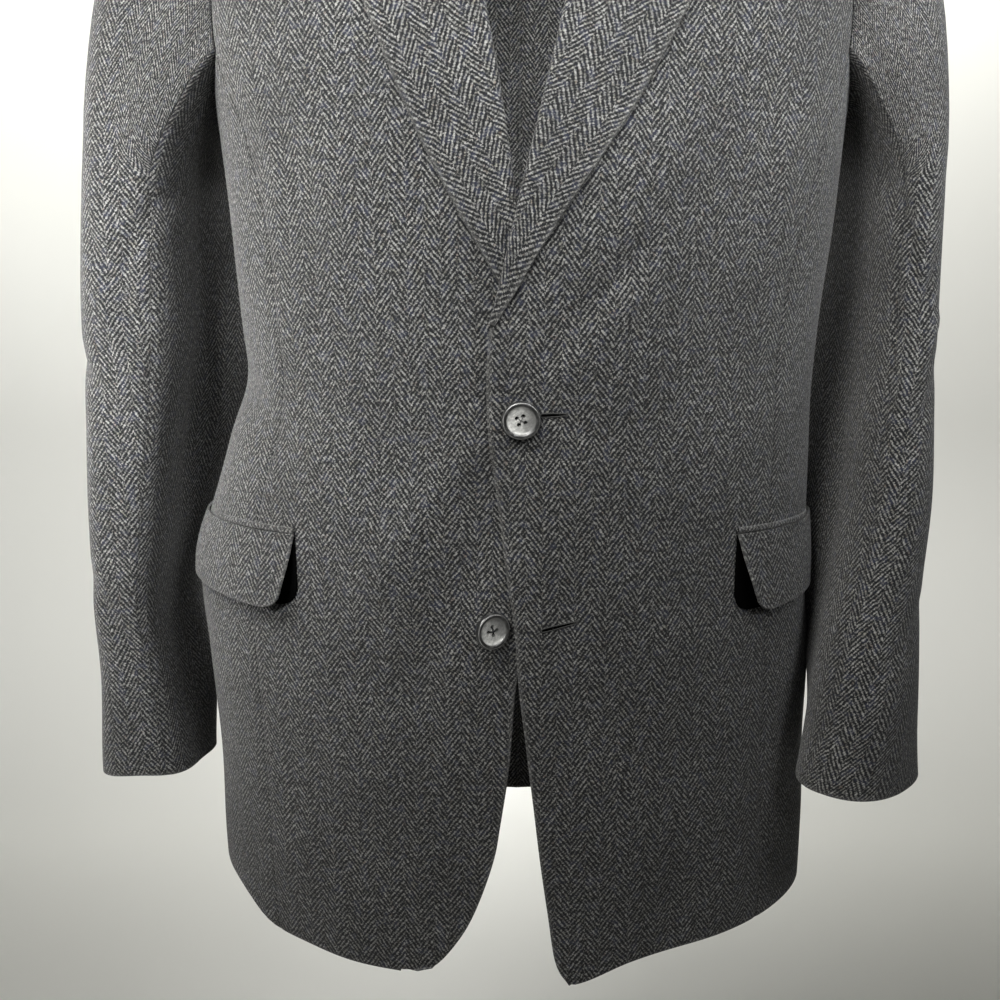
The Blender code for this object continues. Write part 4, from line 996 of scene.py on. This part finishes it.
def turned_grid(face, places, gap, stand, lean, wall):
    """Sections of a turned piece: standing leg, soft fold, fall to the outer edge."""
    angle, level = places
    normal = form_normal(angle[:, 0], level[:, 0])
    seam = face(angle[:, 0], level[:, 0], -CLOTH / 2)
    aim = int(np.searchsorted(FALL, 0.73)) + 1
    outward = face(angle[:, aim], level[:, aim], 0.0) - seam
    outward = unit(outward - normal * dot(outward, normal))
    lean = np.radians(lean)
    turn_start = lean - math.pi / 2
    radius = (CLOTH / 2 + gap + 1.5 * wall) / 2 + FOLD_BULGE * ramp(stand, 0, FOLD_STAND)
    radius = radius[:, None]

    def spoke(around):
        return normal * np.sin(around)[:, None] - outward * np.cos(around)[:, None]

    clear = (SEAM_CLEAR + np.sin(lean) * wall / 2)[:, None]
    foot = seam - outward * clear + spoke(turn_start) * (wall / 2)[:, None]
    centre = foot + spoke(turn_start + math.pi / 2) * stand[:, None] - spoke(turn_start) * radius
    leg = [foot, lerp(foot, centre + spoke(turn_start) * radius, 0.5)]
    leg += [centre + spoke(turn_start + turn) * radius for turn in FOLD_ANGLES]
    lying = face(angle, level, np.broadcast_to((gap + wall)[:, None], angle.shape))
    over = leg[-1] - lying[:, 0]
    fall = lying[:, 1:] + over[:, None] * ((1 - FALL) ** FALL_FADE)[None, :, None]
    return np.concatenate([np.stack(leg, 1), fall], 1)


def add_lapels():
    for side, word in WORDS.items():
        names = LAPELS[side]
        last = len(names["wall"]) - 1
        row = np.concatenate([[0, 0.03], np.linspace(0.08, last - 0.05, 128), [last]])
        roll_z, tip_z, tip_x, wall = (spline(names[name], row)
                                      for name in ("roll_z", "tip_z", "tip_x", "wall"))
        x = lerp(edge_x(EDGES[side], roll_z)[:, None], tip_x[:, None], ACROSS)
        z = lerp(roll_z[:, None], tip_z[:, None], ACROSS)
        none = np.zeros_like(wall)
        grid = turned_grid(lambda *place: front_cloth(side, *place), front_at(x, z),
                           LAPEL_GAP + none, none, none, wall)
        inward = distances_from(grid, 1, True)
        along = np.broadcast_to(run_of(grid[:, -1])[:, None], inward.shape)
        add_cloth("lapel_" + word, grid, np.stack([inward, along], -1), -side, "folded",
                  ["front_" + word], wall=wall[:, None], free=("last_column", "first_row"),
                  sewn=("last_row",))


def gorge_shift(side, share):
    """What moves the collar's front end in plan onto the lapel's gorge, up to the notch."""
    names = LAPELS[side]
    seam = np.array([side * NECKLINE["x"][0], NECKLINE["y"][0]])
    edge = np.array([side * COLLAR["edge_x"][0], COLLAR["edge_y"][0]])
    on = np.minimum(share, NOTCH)
    x = lerp(seam[0], names["tip_x"][-1], on)
    z = lerp(names["roll_z"][-1], names["tip_z"][-1], on) + 0.0003
    gorge = cloth_point(*front_at(x, z))[:, :2]
    past = np.clip((share - NOTCH) / (1 - NOTCH), 0, 1)[:, None]
    return lerp(gorge, edge[None], past) - lerp(seam[None], edge[None], share[:, None])


def collar_half(side, rows):
    values = {name: spline(column, rows) for name, column in COLLAR.items()}
    seam = np.stack([side * spline(NECKLINE["x"], values["seam"]),
                     spline(NECKLINE["y"], values["seam"])], -1)
    edge = np.stack([side * values["edge_x"], values["edge_y"]], -1)
    bow = (np.maximum(1 - rows, 0.0) ** 2)[:, None, None]
    plan = lerp(seam[:, None], edge[:, None], ACROSS[None, :, None])
    plan = plan + gorge_shift(side, ACROSS)[None] * bow
    wall = np.full(len(rows), CLOTH)
    return turned_grid(cloth_point, plan_at(plan[..., 0], plan[..., 1]),
                       np.full(len(rows), COLLAR_GAP), values["stand"], values["lean"], wall)


def add_collar():
    rows = np.concatenate([[0, 0.015, 0.04], np.linspace(0.08, NECK_END, 110)])
    left, right = collar_half(1, rows), collar_half(-1, rows[:-1])
    grid = np.concatenate([left, right[::-1]])
    fold_end = 2 + len(FOLD_ANGLES)
    along = run_of(grid[:, fold_end])
    along = along - along[len(left) - 1]
    inward = distances_from(grid, 1, True)
    uv = np.stack([np.broadcast_to(along[:, None], inward.shape), inward], -1)
    add_cloth("collar", grid, uv, -1, "folded", ["back_left", "back_right"],
              free=("last_column", "first_row", "last_row"))


# ------------------------------------------------------------ sleeves


def add_sleeves():
    rows = np.concatenate([[0, 0.02, 0.05], np.linspace(0.10, 1.0, 16)[:-1],
                           np.linspace(1.0, 7.0, 96), [7.0]])
    rows[-2] = 6.985
    runs = {"top_sleeve_": np.linspace(2.0, 4.0, 96), "under_sleeve_": np.linspace(1.0, 2.0, 48)}
    for side, word in WORDS.items():
        for name, stations in runs.items():
            fine = np.concatenate([[stations[0], stations[0] + 0.006], stations[1:-1],
                                   [stations[-1] - 0.006, stations[-1]]])
            grid = sleeve_grid(side, fine, rows)
            round_arm = distances_from(grid, 1)
            down = distances_from(grid, 0)
            uv = np.stack([round_arm - round_arm[:, [len(fine) // 2]],
                           down[[np.searchsorted(rows, 1.0)]] - down], -1)
            add_cloth(name + word, grid, uv, -side, "hung", ["front_" + word, "back_" + word],
                      free=("last_row",), sewn=("first_row", "first_column", "last_column"))


# ------------------------------------------------------------ pockets


def pocket_place(side, share, z, slant=0.0):
    level = find(lambda at: form_value("z", at), z, 0.0, ARM_LEVEL)
    start = np.abs(angle_of(side * (FLAP_INNER_X[side] + slant) + 0 * level, level))
    return side * lerp(start, math.radians(FLAP_BACK_ANGLE), share), level


def pocket_length(side):
    share = np.linspace(0, 1, 11)
    return run_of(front_cloth(side, *pocket_place(side, share, np.full(11, POCKET_TOP))))[-1]


def corner_cut(inside, radius):
    """What a round corner takes off at distances inside the end."""
    share = np.minimum(inside / radius, 1.0)
    return radius * (1 - np.sqrt(1 - (1 - share) ** 2))


FLAP_FREE = ("last_row", "first_column", "last_column")


def add_flap(side, word):
    share = np.concatenate([np.linspace(0, 0.14, 18), np.linspace(0.16, 0.84, 40),
                            np.linspace(0.86, 1, 18)])
    down = np.concatenate([[0, 0.02], np.linspace(0.06, 0.97, 24), [1.0]])
    share, down = np.meshgrid(share, down)
    cut = corner_cut(np.minimum(share, 1 - share) * pocket_length(side), FLAP_CORNER)
    top = POCKET_TOP - JET_HEIGHT / 2 - FLAP_GAP
    z = top - (FLAP_HEIGHT[side] - cut - FLAP_RISE * share ** 1.5) * down
    opened = FLAP_OPENING[side] * (1 - share) ** 2.5 * down ** 1.2
    belly = FLAP_BELLY * np.sin(math.pi * down) * np.sin(math.pi * share)
    lying = ramp(share, 0.92, 0.66)
    stand = (POCKET_SEAT + FLAP_SPRING * down + belly) * lying + opened + FLAP_WALL
    places = pocket_place(side, share, z, FLAP_SLANT[side] * down)
    return add_cloth("pocket_flap_" + word, front_cloth(side, *places, stand),
                     cloth_uv(*places, shift=0.003), side, wall=FLAP_WALL, free=FLAP_FREE)


def add_flap_shade_sheet(side, word):
    """A near-black sheet of painted shade on the front, under the inner part of a flap and seen
    past its lifted inner edge.
    """
    share, down = np.meshgrid(np.linspace(0, 0.45, 40), np.linspace(0.05, 1, 24))
    cut = corner_cut(share * pocket_length(side), SHADE_SHEET_CORNER)
    z = POCKET_TOP - JET_HEIGHT / 2 - (FLAP_HEIGHT[side] + 0.0006 - cut) * down
    places = pocket_place(side, share, z)
    stand = np.full_like(share, POCKET_SEAT + 0.0002)
    # painted shade: the sheet stands just off the front cloth, under the flap
    made = add_shell("pocket_flap_" + word + "_inside", front_cloth(side, *places, stand),
                     cloth_uv(*places), side, wall=0.0006, free=FLAP_FREE)
    dress(made, SHADE, None)


def add_jet(side, word):
    share = np.concatenate([[0, 0.004], np.linspace(0.015, 0.985, 70), [0.996, 1]])
    share, turn = np.meshgrid(share, np.linspace(-1, 1, 9))
    stand = POCKET_SEAT + JET_WALL + JET_CROWN * np.sqrt(np.maximum(1 - turn ** 2, 0.0))
    stand = stand * lerp(1.0, -0.35, ramp(share, 0.40, 0.68))
    places = pocket_place(side, share, POCKET_TOP - turn * JET_HEIGHT / 2)
    return add_cloth("pocket_jet_" + word, front_cloth(side, *places, stand),
                     cloth_uv(*places, shift=0.006), side, wall=JET_WALL, free=tuple(SIDES))


def add_pockets():
    for side, word in WORDS.items():
        flap = add_flap(side, word)
        add_flap_shade_sheet(side, word)
        jet = add_jet(side, word)


# ------------------------------------------------------------ buttons and holes

BUTTON_SIDES = 72
BUTTON_PROFILE = [          # shares of the radius and of the thickness, back to front
    (0.00, 0.00), (0.60, 0.00), (0.80, 0.04), (0.92, 0.16), (0.98, 0.34), (1.00, 0.52),
    (0.995, 0.68), (0.97, 0.84), (0.93, 0.95), (0.88, 1.00), (0.82, 0.985), (0.77, 0.92),
    (0.735, 0.82), (0.71, 0.72), (0.67, 0.65), (0.60, 0.61), (0.45, 0.585), (0.00, 0.575),
]
BACK_EDGE = 0.80            # share of the radius on which the tilted button stands
DISH = 0.58                 # share of the thickness at which the thread lies
THREAD_HOLE = 0.00120
THREAD_HOLE_OFFSET = 0.0027
THREAD_DIVE = 0.0024        # how deep the thread's ends go into the holes
DRILL_REACH = 0.01
HOLE_GAP = 0.00085
HOLE_LIFT = 0.0002
PURL_RADIUS = 0.00040
PURL_OFFSET = 0.00048
BAR_HALF = 0.0013           # half the bar tack across the hole's inner end
SLIT_TOP, SLIT_FOOT = 0.00035, -0.0014


def front_frame(side, x, z, out):
    """A matrix on a front's face: X to the wearer's left, Z out of it."""
    step = 0.006
    xs = np.array([x, x + step, x - step, x, x])
    zs = np.array([z, z, z, z + step, z - step])
    spots = front_cloth(side, *front_at(xs, zs), np.array([out, 0.0, 0.0, 0.0, 0.0]))
    centre, right, left, up, low = (Vector(spot) for spot in spots)
    axis_x = (right - left).normalized()
    axis_z = axis_x.cross(up - low).normalized()
    axis_y = axis_z.cross(axis_x)
    rotation = Matrix((axis_x, axis_y, axis_z)).transposed().to_4x4()
    return Matrix.Translation(centre) @ rotation


def circle(sides):
    around = np.arange(sides) * math.tau / sides
    return np.stack([np.cos(around), np.sin(around)], -1)


def lathe(name, profile, sides):
    rings = [np.insert(circle(sides) * radius, 2, height, axis=1)
             for radius, height in profile[1:-1]]
    middle = [[0, 0, profile[0][1]], [0, 0, profile[-1][1]]]
    faces = grid_faces(len(rings), sides, closed=True).tolist()
    count, last = len(rings) * sides, (len(rings) - 1) * sides
    step = range(sides)
    faces += [[count, (a + 1) % sides, a] for a in step]
    faces += [[count + 1, last + a, last + (a + 1) % sides] for a in step]
    return add_mesh(name, np.concatenate(rings + [middle]), faces)


def drilled(made, name):
    """The button with its four thread holes cut, applied."""
    cutters = []
    for corner in range(4):
        around = math.pi / 4 + corner * math.pi / 2
        rod = lathe("%s_drill_%d" % (name, corner),
                    [(0, -DRILL_REACH), (THREAD_HOLE, -DRILL_REACH), (THREAD_HOLE, DRILL_REACH),
                     (0, DRILL_REACH)], 20)
        rod.location = (THREAD_HOLE_OFFSET * math.cos(around),
                        THREAD_HOLE_OFFSET * math.sin(around), 0)
        cutters.append(rod)
        modifier = made.modifiers.new("cut_%d" % corner, "BOOLEAN")
        modifier.operation, modifier.solver, modifier.object = "DIFFERENCE", "EXACT", rod
    bpy.context.view_layer.update()
    whole = made.evaluated_get(bpy.context.evaluated_depsgraph_get())
    mesh = bpy.data.meshes.new_from_object(whole)
    made.modifiers.clear()
    made.data = mesh
    for rod in cutters:
        bpy.data.objects.remove(rod)
    mesh.set_sharp_from_angle(angle=math.radians(40))
    return made


def tube(name, paths, radius, sides=10):
    """Round threads along paths of points, closed at both ends."""
    vertices, faces, base = [], [], 0
    spokes = circle(sides)[None, :, :, None]
    for path in paths:
        ahead = unit(np.gradient(path, axis=0))
        aside = unit(np.cross(ahead, np.array([0.13, 0.21, 0.97])))
        above = np.cross(aside, ahead)
        ring = aside[:, None] * spokes[:, :, 0] + above[:, None] * spokes[:, :, 1]
        vertices.append((path[:, None] + ring * radius).reshape(-1, 3))
        faces += (grid_faces(len(path), sides, closed=True) + base).tolist()
        top = base + (len(path) - 1) * sides
        faces += [list(range(base + sides - 1, base - 1, -1)), list(range(top, top + sides))]
        base += len(path) * sides
    return add_mesh(name, np.concatenate(vertices), faces)


def cross_stitch(name, thickness):
    """Thread crossed over the button's dish, down through its four holes."""
    height = BUTTON_THICKNESS * DISH + thickness
    reach = THREAD_HOLE_OFFSET * 0.86
    t = np.linspace(-1, 1, 21)
    paths = []
    for turn, over in ((math.pi / 4, 0.0), (-math.pi / 4, 1.6 * thickness)):
        for aside in (-0.8 * thickness, 0.8 * thickness):
            paths.append(np.stack([
                t * reach * math.cos(turn) - aside * math.sin(turn),
                t * reach * math.sin(turn) + aside * math.cos(turn),
                height + over * np.exp(-(t / 0.4) ** 2) - THREAD_DIVE * np.abs(t) ** 8], -1))
    return tube(name, paths, thickness)


def add_buttons():
    upper = front_frame(1, *BUTTON_UPPER, BUTTON_SEAT)
    rise = BUTTON_SEAT + BUTTON_RADIUS * BACK_EDGE * math.sin(BUTTON_LOWER_TURN)
    lower = front_frame(-1, *BUTTON_LOWER, rise)
    lower = lower @ Matrix.Rotation(BUTTON_LOWER_TURN, 4, "Y")
    profile = [(r * BUTTON_RADIUS, h * BUTTON_THICKNESS) for r, h in BUTTON_PROFILE]
    for name, place, spin, material, thickness in (
            ("button_upper", upper, 0.33, GREY_THREAD, 0.00017),
            ("button_lower", lower, 0.92, DARK_THREAD, 0.00030)):
        made = drilled(lathe(name + "_horn", profile, BUTTON_SIDES), name)
        stitch = cross_stitch(name + "_thread", thickness)
        made.matrix_world = stitch.matrix_world = place @ Matrix.Rotation(spin, 4, "Z")
        dress(made, HORN, name)
        dress(stitch, material, None)


def add_buttonhole(word, x, z, slant, half):
    """A slit that opens to a wedge, worked round with a low purl and a bar tack."""
    middle = front_frame(1, x, z, HOLE_LIFT) @ Matrix.Rotation(math.radians(slant), 4, "Z")
    turn = np.linspace(0, math.tau, 180)
    x = half * np.cos(turn)
    wedge = lerp(1.0, 0.30, (x + half) / (2 * half))
    squared = np.sign(np.sin(turn)) * np.abs(np.sin(turn)) ** 0.35
    y = HOLE_GAP * wedge * squared
    wobble = 0.00010 * np.sin(turn * 41) + 0.00006 * np.sin(turn * 97)
    loop = np.stack([x, y + PURL_OFFSET * squared, 0.00005 + wobble], -1)
    bar_x = half + 0.0003 + 0.0001 * np.sin(np.arange(9) * 2.1)
    bar = np.stack([bar_x, np.linspace(-BAR_HALF, BAR_HALF, 9), np.full(9, HOLE_LIFT)], -1)
    purl = tube("buttonhole_%s_purl" % word, [loop, bar], PURL_RADIUS, 8)
    count = len(x) - 1
    # the slit is a near-black block standing on the cloth: painted shade for the opening
    outline = np.stack([x, y], -1)[:count]
    vertices = [np.insert(outline, 2, height, axis=1) for height in (SLIT_TOP, SLIT_FOOT)]
    faces = [list(range(count)), list(range(2 * count - 1, count - 1, -1))]
    faces += [(i, i + count, (i + 1) % count + count, (i + 1) % count) for i in range(count)]
    slit = add_mesh("buttonhole_%s_slit" % word, np.concatenate(vertices), faces, soft=False)
    for made, material in ((purl, PURL_THREAD), (slit, SHADE)):
        made.matrix_world = middle
        dress(made, material, None)


# ------------------------------------------------------------ stage, lights, camera


def add_stage():
    """One pale sweep: a floor that curves up into a wall."""
    floor_z, wall_y, bend = -1.55, 2.30, 0.8
    turn = np.linspace(0, math.pi / 2, 24)
    line = [(-4.0, floor_z)]
    line += [(wall_y - bend + bend * math.sin(a), floor_z + bend - bend * math.cos(a))
             for a in turn]
    line += [(wall_y, 3.0)]
    xs = np.linspace(-4.5, 4.5, 12)
    backdrop = add_mesh("backdrop", [(x, y, z) for y, z in line for x in xs],
                        grid_faces(len(line), len(xs)).tolist())
    backdrop.data.materials.append(WALL_PAINT)


WARM, COOL = (1.0, 0.99, 0.965), (0.98, 0.99, 1.0)
LIGHTS = [                  # place, aim, size, spread in degrees, power, colour
    ("key", (-0.62, -0.85, 0.62), (-0.16, -0.10, -0.02), (0.8, 0.6), 140, 15.0, WARM),
    ("key_spot", (-0.60, -0.95, 0.70), (-0.16, -0.10, 0.02), (0.45, 0.35), 56, 1.4, WARM),
    ("right_low", (0.80, -1.20, 0.35), (0.31, -0.06, -0.12), (0.4, 0.4), 34, 1.45, COOL),
    ("right_high", (0.90, -0.90, 0.80), (0.25, -0.05, 0.02), (0.5, 0.5), 60, 1.7, COOL),
    ("sleeve", (-0.66, -1.25, 0.15), (-0.37, -0.06, -0.34), (0.4, 0.4), 24, 2.2, (1, 1, 1)),
    ("lapels", (0.0, -1.20, 0.45), (0.02, -0.10, -0.10), (0.3, 0.3), 26, 0.9, (1, 1, 1)),
    ("wall_top", (0.05, 1.20, 1.55), (0.10, 2.30, 0.50), (3.6, 0.4), 105, 41.0,
     (1.0, 0.995, 0.955)),
    ("wall_left", (-1.5, 0.80, 0.40), (-1.45, 2.30, -0.20), (0.7, 0.7), 80, 2.2,
     (1.0, 1.0, 0.96)),
    ("back", (0.55, 1.15, 0.95), (0.0, 0.10, -0.30), (0.9, 0.9), 60, 4.0, (1, 1, 1)),
]


def add_lights():
    for name, place, aim, size, spread, power, colour in LIGHTS:
        data = bpy.data.lights.new(name, "AREA")
        data.shape = "RECTANGLE"
        data.size, data.size_y = size
        data.spread = math.radians(spread)
        data.energy = power
        data.color = colour
        made = bpy.data.objects.new(name, data)
        made.location = place
        made.rotation_mode = "QUATERNION"
        made.rotation_quaternion = (Vector(aim) - Vector(place)).to_track_quat("-Z", "Y")
        bpy.context.scene.collection.objects.link(made)
    world = bpy.data.worlds.new("studio")
    world.use_nodes = True
    sky = world.node_tree.nodes["Background"]
    sky.inputs["Color"].default_value = (0.95, 0.97, 1.0, 1.0)
    sky.inputs["Strength"].default_value = 0.004
    bpy.context.scene.world = world
    bpy.context.scene.view_settings.view_transform = "Standard"


def add_camera():
    data = bpy.data.cameras.new("camera")
    data.sensor_width = 36.0
    data.lens = 41.04
    data.clip_start = 0.02
    camera = bpy.data.objects.new("camera", data)
    camera.location = (-0.015, -0.78, -0.345)
    camera.rotation_euler = (math.radians(78.6), 0.0, 0.0)
    bpy.context.scene.collection.objects.link(camera)
    bpy.context.scene.camera = camera


# ------------------------------------------------------------ the jacket

add_camera()
add_stage()
add_lights()
add_fronts()
add_sides()
add_backs()
add_lapels()
add_collar()
add_sleeves()
add_pockets()
add_buttons()
add_buttonhole("upper", 0.0152, -0.4254, slant=2.0, half=0.0074)
add_buttonhole("lower", 0.0198, -0.5521, slant=13.0, half=0.0107)
